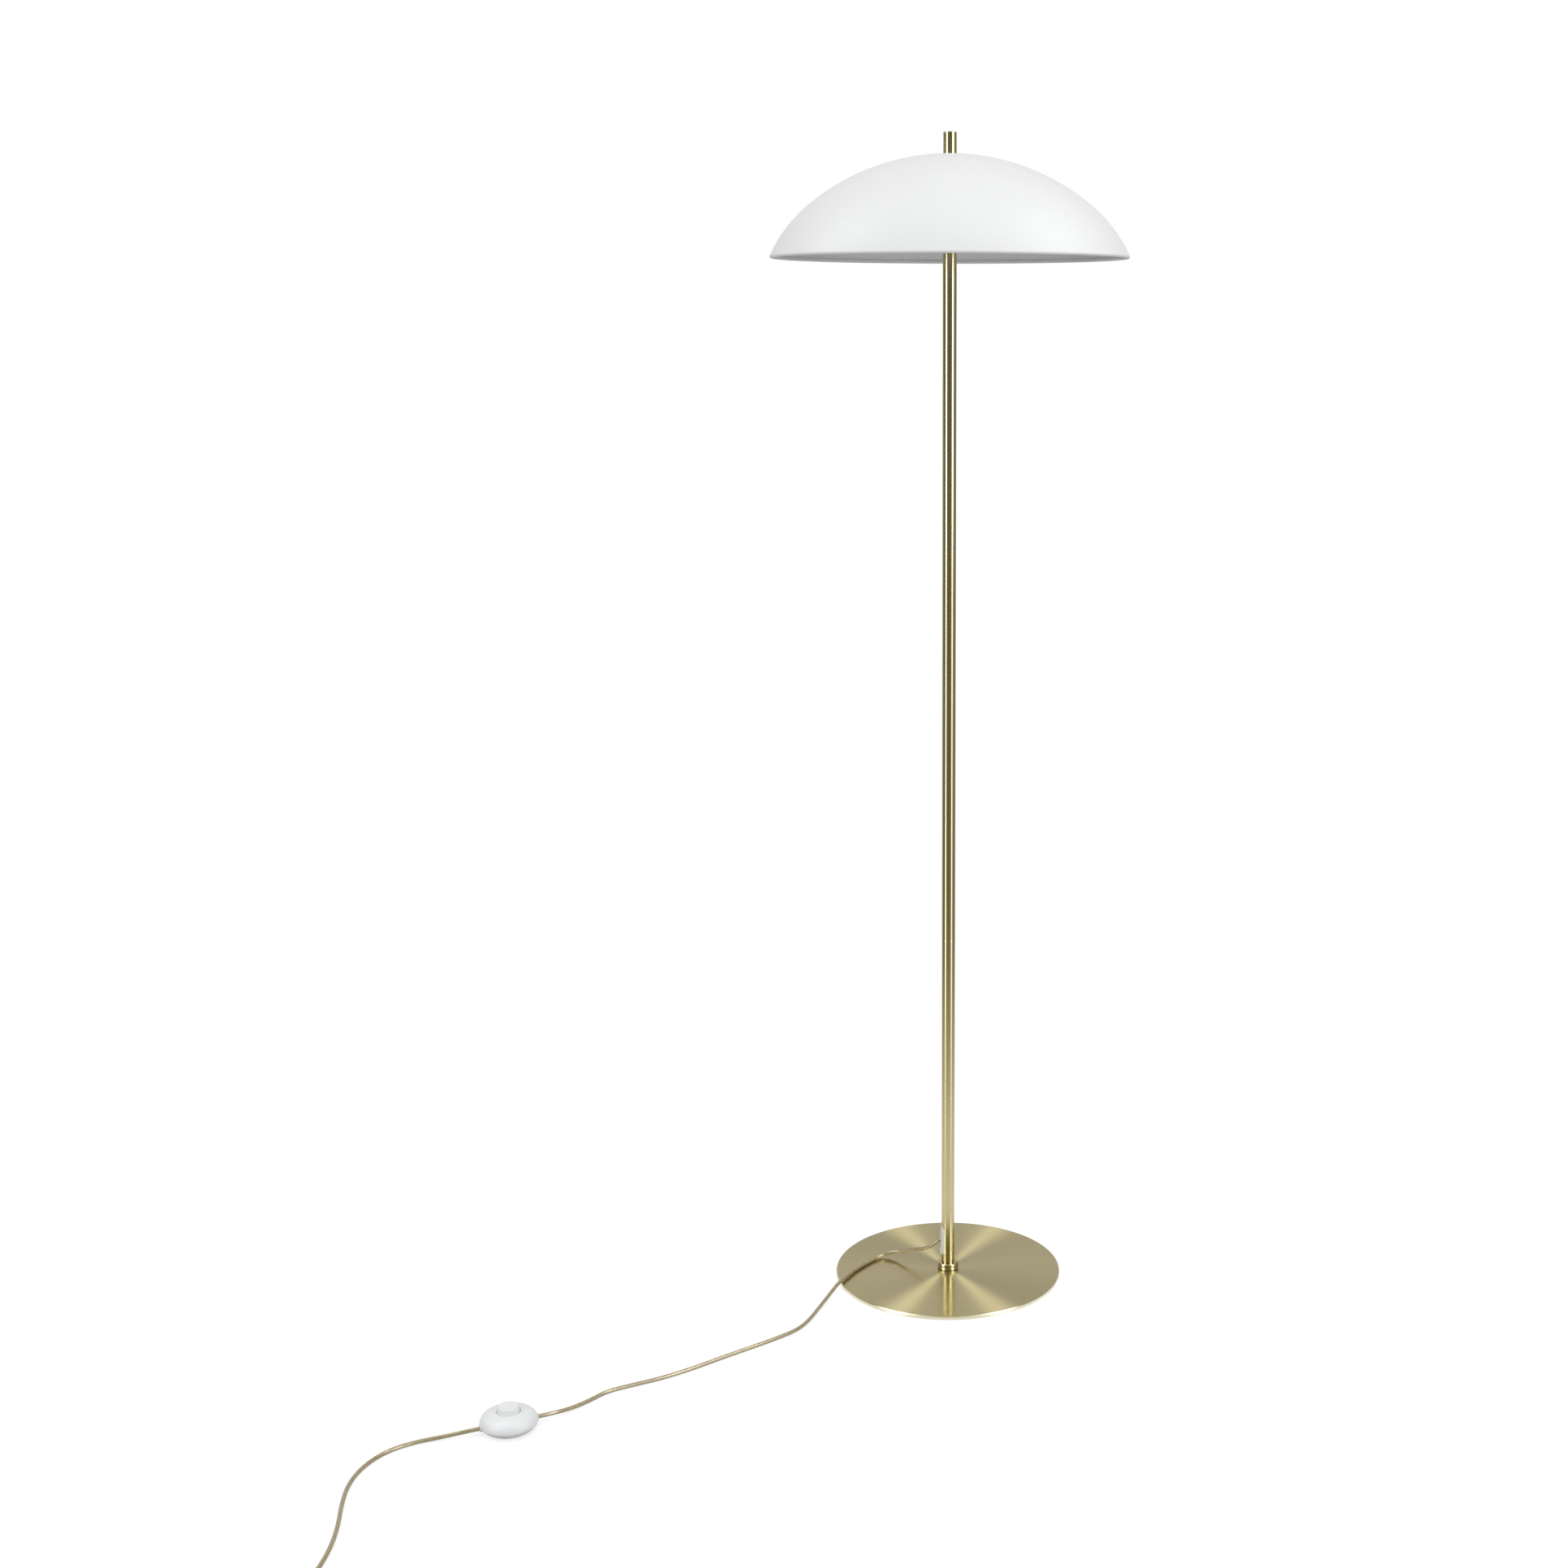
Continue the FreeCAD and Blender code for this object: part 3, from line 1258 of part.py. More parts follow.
def make_plug():
    length, width, thick = value("plug_length"), value("plug_width"), value("plug_thick")
    neck = 2 * value("sleeve_root") + 1.0
    sections = [
        stadium(0.0, neck + 0.6, neck),
        stadium(0.25 * length, 0.62 * width, 0.84 * thick),
        stadium(0.55 * length, width, thick),
        stadium(length, width, thick),
    ]
    shape = Part.makeLoft(sections, True, True)
    for sign in (1, -1):
        hole = Part.makeCylinder(
            value("pin_radius + press_clear"), value("pin_root"),
            Vector(length - value("pin_root"), sign * value("pin_pitch / 2"), 0), X_AXIS,
        )
        shape = shape.cut(hole)
    item = doc.addObject("Part::Feature", "plug_moulding")
    item.Shape = shape
    on_plug_axis(item, "plug_body")
    profile = [
        ("cord_radius + grommet_clear", "-sleeve_length"),
        ("sleeve_tip", "-sleeve_length"),
    ]
    for groove in range(4):
        start = 0.16 + 0.2 * groove
        deep = "sleeve_groove" if groove else "sleeve_groove / 2"
        for share, sunk in ((start, "0"), (start + 0.01, deep), (start + 0.07, deep), (start + 0.08, "0")):
            profile.append((
                f"sleeve_tip + {share:.2f} * (sleeve_root - sleeve_tip) - {sunk}",
                f"-sleeve_length * {1 - share:.2f}",
            ))
    profile += [("sleeve_root", "0"), ("cord_radius + grommet_clear", "0")]
    sleeve = turned("plug_sleeve_turning", profile)
    place(sleeve, axis=Y_AXIS, angle=90)
    on_plug_axis(sleeve, "plug_sleeve")
    pins, sleeves = [], []
    for number, sign in enumerate(("", "-"), start=1):
        pin = turned(f"plug_pin_{number}", [
            ("0", "-pin_root"),
            ("pin_radius", "-pin_root"),
            ("pin_radius", "0"),
            ("pin_core", "0"),
            ("pin_core", "pin_sleeve"),
            ("pin_radius", "pin_sleeve"),
            ("pin_radius", "pin_reach - 1"),
            ("pin_radius - 1", "pin_reach"),
            ("0", "pin_reach"),
        ])
        spot = {"x": "plug_length", "y": f"{sign}pin_pitch / 2", "axis": Y_AXIS, "angle": 90}
        pins.append(place(pin, **spot))
        sleeve_ring = turned(f"pin_sleeve_{number}", [
            ("pin_core + press_clear", "0"),
            ("pin_sleeve_radius", "0"),
            ("pin_sleeve_radius", "pin_sleeve"),
            ("pin_core + press_clear", "pin_sleeve"),
        ])
        sleeves.append(place(sleeve_ring, **spot))
    on_plug_axis(group("plug_pin_pair", pins), "plug_pins")
    on_plug_axis(group("pin_sleeve_pair", sleeves), "plug_pin_sleeves")


# ---------------------------------------------------------------------------
# Build, check and write
# ---------------------------------------------------------------------------
make_foot()
make_pole()
make_outlet()
make_hub()
make_shade_fixing()
make_shade()
for side_sign, side_name in ((1, "right"), (-1, "left")):
    make_lampholder(side_sign, side_name)
    make_bulb(side_sign, side_name)
for pair_name, twins in PAIRS.items():
    keep(group(pair_name + "_pair", twins), pair_name)
make_hub_leads()
make_switch_shells()
make_button()
make_switch_inside()
make_cords()
make_plug()
doc.recompute()

for item in doc.Objects:
    faults = [state for state in item.State if state in ("Invalid", "Error")]
    if faults:
        raise RuntimeError(f"{item.Label}: {faults}")
os.makedirs("parts", exist_ok=True)
for item in NODES:
    if item.Shape.isNull() or not item.Shape.isValid() or not item.Shape.Solids:
        raise RuntimeError(f"{item.Label}: no valid solid")
    item.Shape.exportStep(f"parts/{item.Label}.step")
print(f"{len(NODES)} nodes written")
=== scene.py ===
import math

import bpy
from mathutils import Matrix, Vector


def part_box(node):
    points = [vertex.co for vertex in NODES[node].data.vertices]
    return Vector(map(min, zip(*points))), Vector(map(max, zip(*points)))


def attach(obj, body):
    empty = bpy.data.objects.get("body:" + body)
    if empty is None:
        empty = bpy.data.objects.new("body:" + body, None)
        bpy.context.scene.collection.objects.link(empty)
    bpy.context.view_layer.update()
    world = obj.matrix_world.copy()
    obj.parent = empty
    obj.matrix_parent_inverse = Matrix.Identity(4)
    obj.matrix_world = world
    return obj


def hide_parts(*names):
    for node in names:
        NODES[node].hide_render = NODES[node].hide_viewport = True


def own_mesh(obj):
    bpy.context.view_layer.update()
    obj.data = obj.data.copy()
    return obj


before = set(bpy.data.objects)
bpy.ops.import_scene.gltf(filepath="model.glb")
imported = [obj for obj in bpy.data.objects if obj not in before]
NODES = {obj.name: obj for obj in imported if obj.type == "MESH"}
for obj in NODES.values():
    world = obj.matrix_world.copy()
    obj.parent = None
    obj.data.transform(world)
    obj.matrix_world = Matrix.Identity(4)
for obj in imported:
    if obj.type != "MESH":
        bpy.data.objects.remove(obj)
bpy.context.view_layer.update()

# Looks of the mushroom floor lamp. The origin is on the floor on the pole's axis, +Z is up and the
# camera stands on the -Y side. Lengths are in metres, but in millimetres along the cords' routes.

MM = 0.001
MICRON = 0.000001
WHITE = (1.0, 1.0, 1.0)

# ---------------------------------------------------------------------------
# Camera, as fitted to the photograph
# ---------------------------------------------------------------------------
PHOTO_PX = 1932
FOCAL_PX = 2684.5
AXIS_PX_X = 1169.0              # column of the photograph that the lens looks straight at
SENSOR_MM = 36.0
CAMERA_DISTANCE = 2.5579
CAMERA_HEIGHT = 1.1659
CAMERA_PITCH = 0.2078           # radians, looking down
CAMERA_ROLL = 0.0019            # radians
CAMERA_REACH = 50.0


def make_camera():
    data = bpy.data.cameras.new("camera")
    data.sensor_width = SENSOR_MM
    data.lens = FOCAL_PX * SENSOR_MM / PHOTO_PX
    data.shift_x = (PHOTO_PX / 2 - AXIS_PX_X) / PHOTO_PX
    data.clip_end = CAMERA_REACH
    camera = bpy.data.objects.new("camera", data)
    bpy.context.collection.objects.link(camera)
    forward = Vector((0.0, math.cos(CAMERA_PITCH), -math.sin(CAMERA_PITCH)))
    level = Vector((1.0, 0.0, 0.0))
    above = level.cross(forward)
    right = level * math.cos(CAMERA_ROLL) + above * math.sin(CAMERA_ROLL)
    up = above * math.cos(CAMERA_ROLL) - level * math.sin(CAMERA_ROLL)
    turn = Matrix((right, up, -forward)).transposed().to_4x4()
    camera.matrix_world = Matrix.Translation((0.0, -CAMERA_DISTANCE, CAMERA_HEIGHT)) @ turn
    bpy.context.scene.camera = camera


# ---------------------------------------------------------------------------
# Shader graphs
# ---------------------------------------------------------------------------
NOISE_LOW = 0.3                 # most of a noise texture lies between these two levels
NOISE_HIGH = 0.7
EDGE_NORMAL = 0.8               # a surface whose normal's Z is under this belongs to the edge
QUARTER_TURN = 0.25


class Graph:
    """The shader nodes of a material or of the world."""

    def __init__(self, owner):
        owner.use_nodes = True
        self.tree = owner.node_tree

    def node(self, kind, **settings):
        item = self.tree.nodes.new("ShaderNode" + kind)
        for label, setting in settings.items():
            setattr(item, label, setting)
        return item

    def join(self, output, target):
        self.tree.links.new(output, target)

    def math(self, operation, first, second):
        """The result of an operation on two sources, each a float or another node's output."""
        item = self.node("Math", operation=operation)
        for socket, source in zip(item.inputs, (first, second)):
            if isinstance(source, float):
                socket.default_value = source
            else:
                self.join(source, socket)
        return item.outputs[0]

    def length(self, vector):
        item = self.node("VectorMath", operation="LENGTH")
        self.join(vector, item.inputs[0])
        return item.outputs["Value"]

    def spread(self, source, from_low, from_high, to_low=0.0, to_high=1.0):
        """Maps one range of the source onto another."""
        item = self.node("MapRange")
        item.inputs["From Min"].default_value = from_low
        item.inputs["From Max"].default_value = from_high
        item.inputs["To Min"].default_value = to_low
        item.inputs["To Max"].default_value = to_high
        self.join(source, item.inputs["Value"])
        return item.outputs["Result"]

    def mixed(self, factor, first, second):
        """The first shader where the factor is 0, the second where it is 1."""
        item = self.node("MixShader")
        self.join(factor, item.inputs["Fac"])
        self.join(first, item.inputs[1])
        self.join(second, item.inputs[2])
        return item.outputs[0]


class Finish(Graph):
    """A material under construction: a Principled shader and the nodes that feed it."""

    def __init__(self, name, color, roughness, **settings):
        self.material = bpy.data.materials.new(name)
        super().__init__(self.material)
        self.shader = self.tree.nodes["Principled BSDF"]
        self.color = (*color, 1.0)
        self.roughness = roughness
        self.shader.inputs["Base Color"].default_value = self.color
        self.shader.inputs["Roughness"].default_value = roughness
        for label, number in settings.items():
            self.shader.inputs[label.replace("_", " ")].default_value = number
        self.spot = self.node("TexCoord").outputs["Object"]

    def stretched(self, scale):
        """Object coordinates scaled along each axis."""
        item = self.node("Mapping")
        item.inputs["Scale"].default_value = scale
        self.join(self.spot, item.inputs["Vector"])
        return item.outputs["Vector"]

    def noise(self, scale, detail=4.0, coordinates=None):
        item = self.node("TexNoise")
        item.inputs["Scale"].default_value = scale
        item.inputs["Detail"].default_value = detail
        self.join(coordinates or self.spot, item.inputs["Vector"])
        return item.outputs["Fac"]

    def rings(self, per_metre):
        """Random fine rings about the pole's axis, as turning and brushing leave them."""
        flat = self.node("VectorMath", operation="MULTIPLY")
        flat.inputs[1].default_value = (1.0, 1.0, 0.0)
        self.join(self.spot, flat.inputs[0])
        item = self.node("TexNoise", noise_dimensions="1D")
        item.inputs["Scale"].default_value = per_metre
        item.inputs["Detail"].default_value = 3.0
        self.join(self.length(flat.outputs["Vector"]), item.inputs["W"])
        return item.outputs["Fac"]

    def vary_color(self, noise, other, amount):
        """Mixes towards another colour by up to the amount."""
        item = self.node("Mix", data_type="RGBA")
        item.inputs["A"].default_value = self.color
        item.inputs["B"].default_value = (*other, 1.0)
        share = self.spread(noise, NOISE_LOW, NOISE_HIGH, 0.0, amount)
        self.join(share, item.inputs["Factor"])
        self.join(item.outputs["Result"], self.shader.inputs["Base Color"])
        return self

    def vary_roughness(self, noise, swing):
        """Moves the roughness up and down by up to the swing."""
        low = self.roughness - swing
        high = self.roughness + swing
        uneven = self.spread(noise, NOISE_LOW, NOISE_HIGH, low, high)
        self.join(uneven, self.shader.inputs["Roughness"])
        return self

    def painted_edge_reflection(self, other):
        """Another colour where the surface stands upright, as round a plate's edge: a painted
        reflection of the bright floor.
        """
        split = self.node("SeparateXYZ")
        self.join(self.node("TexCoord").outputs["Normal"], split.inputs[0])
        steep = self.math("ABSOLUTE", split.outputs["Z"], 0.0)
        item = self.node("Mix", data_type="RGBA")
        item.inputs["B"].default_value = (*other, 1.0)
        self.join(self.math("LESS_THAN", steep, EDGE_NORMAL), item.inputs["Factor"])
        self.join(self.shader.inputs["Base Color"].links[0].from_socket, item.inputs["A"])
        self.join(item.outputs["Result"], self.shader.inputs["Base Color"])
        return self

    def bump(self, height, depth, strength=1.0):
        item = self.node("Bump")
        item.inputs["Distance"].default_value = depth
        item.inputs["Strength"].default_value = strength
        self.join(height, item.inputs["Height"])
        self.join(item.outputs["Normal"], self.shader.inputs["Normal"])
        return self

    def turned(self, anisotropy):
        """Brush marks that run round the pole's axis: reflections smear across them."""
        self.shader.inputs["Anisotropic"].default_value = anisotropy
        self.shader.inputs["Anisotropic Rotation"].default_value = QUARTER_TURN
        tangent = self.node("Tangent", direction_type="RADIAL", axis="Z")
        self.join(tangent.outputs["Tangent"], self.shader.inputs["Tangent"])
        return self


# ---------------------------------------------------------------------------
# Finishes
# ---------------------------------------------------------------------------
BRASS = (0.62, 0.55, 0.32)
DEEP_BRASS = (0.50, 0.42, 0.20)
PLATE_BRASS = (0.60, 0.52, 0.27)
# Paler brass for the plate's upright edge: a painted reflection of the bright floor, partly a
# turned, unbrushed edge
EDGE_REFLECTION_BRASS = (0.93, 0.87, 0.62)
TURNING_MARKS = (120.0, 120.0, 2500.0)      # per metre: short along the axis, long round it


def brass_pole():
    look = Finish("brass_pole", BRASS, 0.17, Metallic=1.0).turned(0.8)
    marks = look.noise(1.0, 2.0, look.stretched(TURNING_MARKS))
    look.vary_color(look.noise(7.0, 2.0), DEEP_BRASS, 0.3)
    look.vary_roughness(marks, 0.02)
    return look.bump(marks, 0.5 * MICRON).material


def brass_plate():
    """Brushed face under a thin clear lacquer. The upright edge is painted paler: partly a turned,
    unbrushed edge, mostly a painted reflection of the bright floor.
    """
    look = Finish(
        "brass_plate", PLATE_BRASS, 0.30, Metallic=1.0, Coat_Weight=0.8, Coat_Roughness=0.14,
    ).turned(1.0)
    marks = look.rings(2600.0)
    look.vary_color(marks, DEEP_BRASS, 0.2)
    # The plate's upright edge gets paler brass: a painted reflection of the bright floor
    look.painted_edge_reflection(EDGE_REFLECTION_BRASS)
    look.vary_roughness(look.rings(700.0), 0.015)
    return look.bump(marks, 2 * MICRON).material


def brass_turned(name, roughness):
    look = Finish(name, BRASS, roughness, Metallic=1.0).turned(0.8)
    marks = look.noise(1.0, 2.0, look.stretched(TURNING_MARKS))
    look.vary_color(look.noise(60.0), DEEP_BRASS, 0.2)
    look.vary_roughness(marks, 0.02)
    return look.bump(marks, 4 * MICRON).material


def powder_coat():
    color = (0.865, 0.875, 0.875)
    look = Finish("shade_paint", color, 0.52)
    grain = look.noise(900.0, 2.0)
    look.vary_color(look.noise(14.0, 3.0), tuple(0.985 * part for part in color), 1.0)
    look.vary_roughness(grain, 0.05)
    return look.bump(grain, 10 * MICRON).material


def plated_steel():
    look = Finish("plated_steel", (0.62, 0.62, 0.63), 0.3, Metallic=1.0)
    look.vary_color(look.noise(400.0), (0.50, 0.50, 0.53), 0.6)
    return look.bump(look.noise(1500.0), 20 * MICRON).material


def moulded(name, color, roughness, grain_depth=10 * MICRON, **settings):
    """Moulded plastic with a faint skin and slightly uneven gloss."""
    look = Finish(name, color, roughness, **settings)
    look.vary_color(look.noise(60.0), tuple(0.97 * part for part in color), 0.8)
    look.vary_roughness(look.noise(120.0), 0.04)
    return look.bump(look.noise(1400.0, 2.0), grain_depth).material


def felt():
    look = Finish("felt", (0.03, 0.03, 0.03), 0.95, Sheen_Weight=0.3)
    fibres = look.noise(1800.0, 6.0)
    look.vary_color(fibres, (0.09, 0.09, 0.09), 0.8)
    return look.bump(fibres, 200 * MICRON).material


def cord_sheath():
    """Clear gold sheath: the cores twist inside it and show as soft darker streaks."""
    look = Finish(
        "cord_sheath", (0.47, 0.40, 0.24), 0.24,
        Coat_Weight=0.6, Coat_Roughness=0.12, Specular_IOR_Level=0.6, Metallic=0.25,
    )
    streaks = look.noise(230.0, 3.0)
    look.vary_color(streaks, (0.30, 0.24, 0.12), 0.6)
    look.vary_roughness(look.noise(500.0), 0.06)
    return look.bump(streaks, 80 * MICRON, 0.6).material


def make_finishes(sheath):
    """The finish of every solid that is shown, by the solid's name."""
    clear_plastic = moulded(
        "clear_plastic", (0.97, 0.96, 0.94), 0.15, Transmission_Weight=0.3, IOR=1.47,
    )
    worn_by = [
        (sheath, ["pole_cord", "switch_leads"]),
        (brass_plate(), ["base_plate"]),
        (brass_pole(), ["lower_tube", "middle_tube", "upper_tube"]),
        (brass_turned("brass_turned", 0.20), ["foot_collar", "finial"]),
        (brass_turned("brass_threads", 0.34), [
            "foot_insert", "lower_tube_insert", "middle_tube_insert", "upper_tube_insert",
            "middle_tube_stud", "upper_tube_stud", "hub_nipple", "arm_nipples",
            "screw_shells", "centre_contacts",
        ]),
        (plated_steel(), [
            "foot_screw", "guard_screw", "hub_nut", "arm_nuts", "shade_nut", "shade_rod",
            "switch_screws", "bulb_cap_right", "bulb_cap_left", "plug_pins",
        ]),
        (felt(), ["base_pad"]),
        (powder_coat(), ["shade", "hub_cup", "hub_cap"]),
        (clear_plastic, ["outlet_guard", "switch_grommets"]),
        (moulded("switch_plastic", (0.84, 0.85, 0.86), 0.42, 2 * MICRON), [
            "switch_cover", "switch_base", "switch_button",
            "plug_body", "plug_sleeve", "plug_pin_sleeves",
        ]),
        (moulded("insulating_block", (0.72, 0.70, 0.63), 0.6, 60 * MICRON), [
            "terminal_block", "contact_blocks", "switch_works",
        ]),
        (moulded("holder_plastic", (0.80, 0.80, 0.78), 0.5, 30 * MICRON), [
            "holder_cap_right", "holder_cap_left", "holder_sleeve_right", "holder_sleeve_left",
            "bulb_body_right", "bulb_body_left",
        ]),
        (moulded("opal_globe", (0.90, 0.90, 0.87), 0.4, Subsurface_Weight=0.2), [
            "bulb_globe_right", "bulb_globe_left",
        ]),
        (moulded("lead_insulation", (0.05, 0.10, 0.30), 0.5), ["hub_leads"]),
        (moulded("foot_rubber", (0.60, 0.60, 0.58), 0.8, 100 * MICRON), ["switch_feet"]),
        (moulded("washer_rubber", (0.10, 0.10, 0.10), 0.8, 100 * MICRON), ["shade_gasket"]),
    ]
    return {name: material for material, names in worn_by for name in names}


def dress_nodes(finishes):
    """Gives every solid its finish."""
    for name, material in finishes.items():
        data = NODES[name].data
        data.materials.clear()
        data.materials.append(material)


# ---------------------------------------------------------------------------
# Cords. Their routes are those of the part's source, in millimetres: the control points of a
# curve, each with the height of the cord's middle above the floor.
# ---------------------------------------------------------------------------
CORD_RADIUS = 2.3 * MM
CORD_SIDE_STEPS = 5             # fineness round the cord
CORD_LENGTH_STEPS = 8           # fineness along it, for each control point
ON_PLATE = 7.35
ON_FLOOR = 2.35
OVER_EDGE = 8.6

OUTLET = (-10.5, 0.0, 41.9)
OUTLET_BEND = (-25.05, 0.0, 29.7)
LAMP_ROUTE = [
    (-43.0, 17.0, 22.5),
    (-80.0, 37.0, 7.6),
    (-111.0, -3.0, ON_PLATE),
    (-126.5, -33.0, OVER_EDGE),
    (-136.0, -58.0, OVER_EDGE),
    (-146.0, -84.0, 4.8),
    (-156.0, -113.0, 2.8),
    (-165.0, -143.0, ON_FLOOR),
    (-177.0, -169.0, ON_FLOOR),
    (-199.0, -190.5, ON_FLOOR),
    (-228.0, -215.0, ON_FLOOR),
    (-258.0, -239.5, ON_FLOOR),
    (-290.0, -267.5, ON_FLOOR),
    (-322.0, -291.0, ON_FLOOR),
    (-356.0, -309.0, ON_FLOOR),
    (-380.0, -323.0, ON_FLOOR),
    (-396.0, -344.5, ON_FLOOR),
    (-413.0, -364.5, 3.6),
]
WALL_ROUTE = [
    (-540.0, -427.0, 3.4),
    (-568.0, -437.0, ON_FLOOR),
    (-592.0, -456.0, ON_FLOOR),
    (-608.0, -486.0, ON_FLOOR),
    (-614.0, -522.0, ON_FLOOR),
    (-610.0, -562.0, ON_FLOOR),
    (-602.0, -604.0, ON_FLOOR),
    (-598.5, -650.0, ON_FLOOR),
    (-603.0, -699.0, ON_FLOOR),
]
SWITCH_SPOT = (-472.5, -403.0)
SWITCH_TURN = 25.3              # degrees
SWITCH_MOUTH = 32.1             # where the cord enters, from the switch's middle
END_RUN = 14.0                  # the straight run at a cord's fittings
CORD_ENTRY = 7.5                # height at which the cord enters the switch
COIL_SPOT = (-572.0, -737.0)
COIL_OUTER = 31.0
COIL_PITCH = 5.3                # from one turn to the next in a layer
COIL_LAYER = 5.1                # from the lower layer to the upper one
COIL_TURNS_IN = 2.5
COIL_TURNS_OUT = 2.75
CLIMB = 0.25                    # turns on each side of the middle in which the coil changes layer
POINTS_PER_TURN = 16
COIL_START = 180                # degrees
PLUG_SPOT = (-490.0, -750.0, 6.95)
PLUG_TURN = 14.0                # degrees
SLEEVE = 22.0                   # from the plug's spot back to its sleeve's end


def along(spot, degrees, distance, height):
    """The point at a distance and in a direction from a spot, at a height."""
    angle = math.radians(degrees)
    return (spot[0] + distance * math.cos(angle), spot[1] + distance * math.sin(angle), height)


def coil_points():
    """Control points of the put-away coil: in along the lower layer, out along the upper one."""
    total = COIL_TURNS_IN + COIL_TURNS_OUT
    # A curve of order 3 runs inside its control points by this share of their radius.
    inside = 0.75 + 0.25 * math.cos(2 * math.pi / POINTS_PER_TURN)
    widen = 1 / inside
    points = []
    for step in range(int(round(total * POINTS_PER_TURN)) + 1):
        turns = step / POINTS_PER_TURN
        from_turn = turns - COIL_TURNS_IN
        radius = (COIL_OUTER + COIL_PITCH * (abs(from_turn) - COIL_TURNS_IN)) * widen
        climb = min(max((from_turn + CLIMB) / (2 * CLIMB), 0.0), 1.0)
        eased = climb * climb * (3 - 2 * climb)
        height = ON_FLOOR + COIL_LAYER * eased
        points.append(along(COIL_SPOT, COIL_START + 360 * turns, radius, height))
    return points


def make_cord(name, points, sheath):
    """A round cord whose control points are the route's points."""
    data = bpy.data.curves.new(name, "CURVE")
    data.dimensions = "3D"
    data.bevel_depth = CORD_RADIUS
    data.bevel_resolution = CORD_SIDE_STEPS
    data.resolution_u = CORD_LENGTH_STEPS
    data.use_fill_caps = True
    spline = data.splines.new("NURBS")
    spline.points.add(len(points) - 1)
    for knot, (x, y, z) in zip(spline.points, points):
        knot.co = (x * MM, y * MM, z * MM, 1.0)
    spline.order_u = 3
    spline.use_endpoint_u = True
    spline.use_smooth = True
    cord = bpy.data.objects.new(name, data)
    bpy.context.collection.objects.link(cord)
    data.materials.append(sheath)
    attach(cord, "lamp")
    return cord


def make_cords(sheath):
    """The cord from the lamp to the switch, and the one from the switch to the plug."""
    # The straight runs into the switch: two points on the lamp's side, then two on the wall's.
    entry = [
        along(SWITCH_SPOT, SWITCH_TURN, side * distance, CORD_ENTRY)
        for side in (1, -1)
        for distance in (SWITCH_MOUTH + END_RUN, SWITCH_MOUTH)
    ]
    lamp_points = [OUTLET, OUTLET_BEND] + LAMP_ROUTE + entry[:2]
    lamp_cord = make_cord("lamp_cord", lamp_points, sheath)
    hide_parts("cord_lamp_to_switch")
    switch_names = [name for name in NODES if name.startswith("switch_")]
    switch_names.remove("switch_spring")
    coil = coil_points()
    last = Vector(coil[-1])
    tail = [
        (last.x + END_RUN, last.y, last.z),
        along(PLUG_SPOT, PLUG_TURN, -SLEEVE - END_RUN, PLUG_SPOT[2]),
        along(PLUG_SPOT, PLUG_TURN, -SLEEVE, PLUG_SPOT[2]),
    ]
    wall_points = entry[:1:-1] + WALL_ROUTE + coil + tail
    wall_cord = make_cord("wall_cord", wall_points, sheath)
    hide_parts("cord_switch_to_coil", "cord_coil", "cord_tail")


# ---------------------------------------------------------------------------
# Return spring of the foot switch
# ---------------------------------------------------------------------------
SPRING_RADIUS = 4.5 * MM        # to the middle of the wire
SPRING_WIRE = 0.7 * MM
SPRING_TURNS = 5
SPRING_STEPS = 24               # points per turn
SPRING_SIDE_STEPS = 3           # fineness round the wire


def make_spring(steel):
    """A wire spring that stands on the works under the button."""
    low, high = (corner[2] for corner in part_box("switch_spring"))
    data = bpy.data.curves.new("return_spring_path", "CURVE")
    data.dimensions = "3D"
    data.bevel_depth = SPRING_WIRE / 2
    data.bevel_resolution = SPRING_SIDE_STEPS
    data.use_fill_caps = True
    spline = data.splines.new("POLY")
    steps = SPRING_TURNS * SPRING_STEPS
    spline.points.add(steps)
    x, y = (part * MM for part in SWITCH_SPOT)
    for step, point in enumerate(spline.points):
        angle = math.radians(SWITCH_TURN) + 2 * math.pi * step / SPRING_STEPS
        rise = (high - low - SPRING_WIRE) * step / steps
        point.co = (
            x + SPRING_RADIUS * math.cos(angle), y + SPRING_RADIUS * math.sin(angle),
            low + SPRING_WIRE / 2 + rise, 1.0,
        )
    path = bpy.data.objects.new("return_spring_path", data)
    mesh = bpy.data.meshes.new_from_object(path)
    bpy.data.objects.remove(path)
    mesh.shade_smooth()
    mesh.materials.append(steel)
    spring = bpy.data.objects.new("return_spring", mesh)
    bpy.context.collection.objects.link(spring)
    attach(spring, "lamp")
    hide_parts("switch_spring")
    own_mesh(spring)
    return spring


# ---------------------------------------------------------------------------
# Floor, world and lamps
# ---------------------------------------------------------------------------
FLOOR_RADIUS = 1.5
FLOOR_SIDES = 96
FLOOR_COLOR = 0.45
FLOOR_GLOW = 0.67               # lifts the floor to white for the camera
GLOSS_GLOW = 0.50               # lifts it in reflections
FLOOR_IN_GLOSS = (0.25, 1.4)    # metres round the lamp where gloss passes from floor to studio

# Plain light by height, from nadir (0) to zenith (1): height, level
SKY = [(0.0, 0.17), (0.45, 0.32), (0.6, 0.60), (1.0, 0.82)]

# Brightness of the studio in reflections, by the angle from the camera's side: degrees, level
STUDIO = [
    (-180, 0.66), (-145, 0.55), (-115, 0.35), (-90, 0.12), (-64, 0.2), (-58, 3.0), (-48, 3.0),
    (-42, 0.3), (-16, 0.15), (16, 0.15), (42, 0.3), (50, 2.1), (60, 2.1), (68, 0.4), (105, 0.25),
    (150, 0.3), (180, 0.66),
]
STUDIO_PEAK = 3.0
DIM_TINT = (1.0, 0.94, 0.76)    # the dim sides of the studio are a little warm

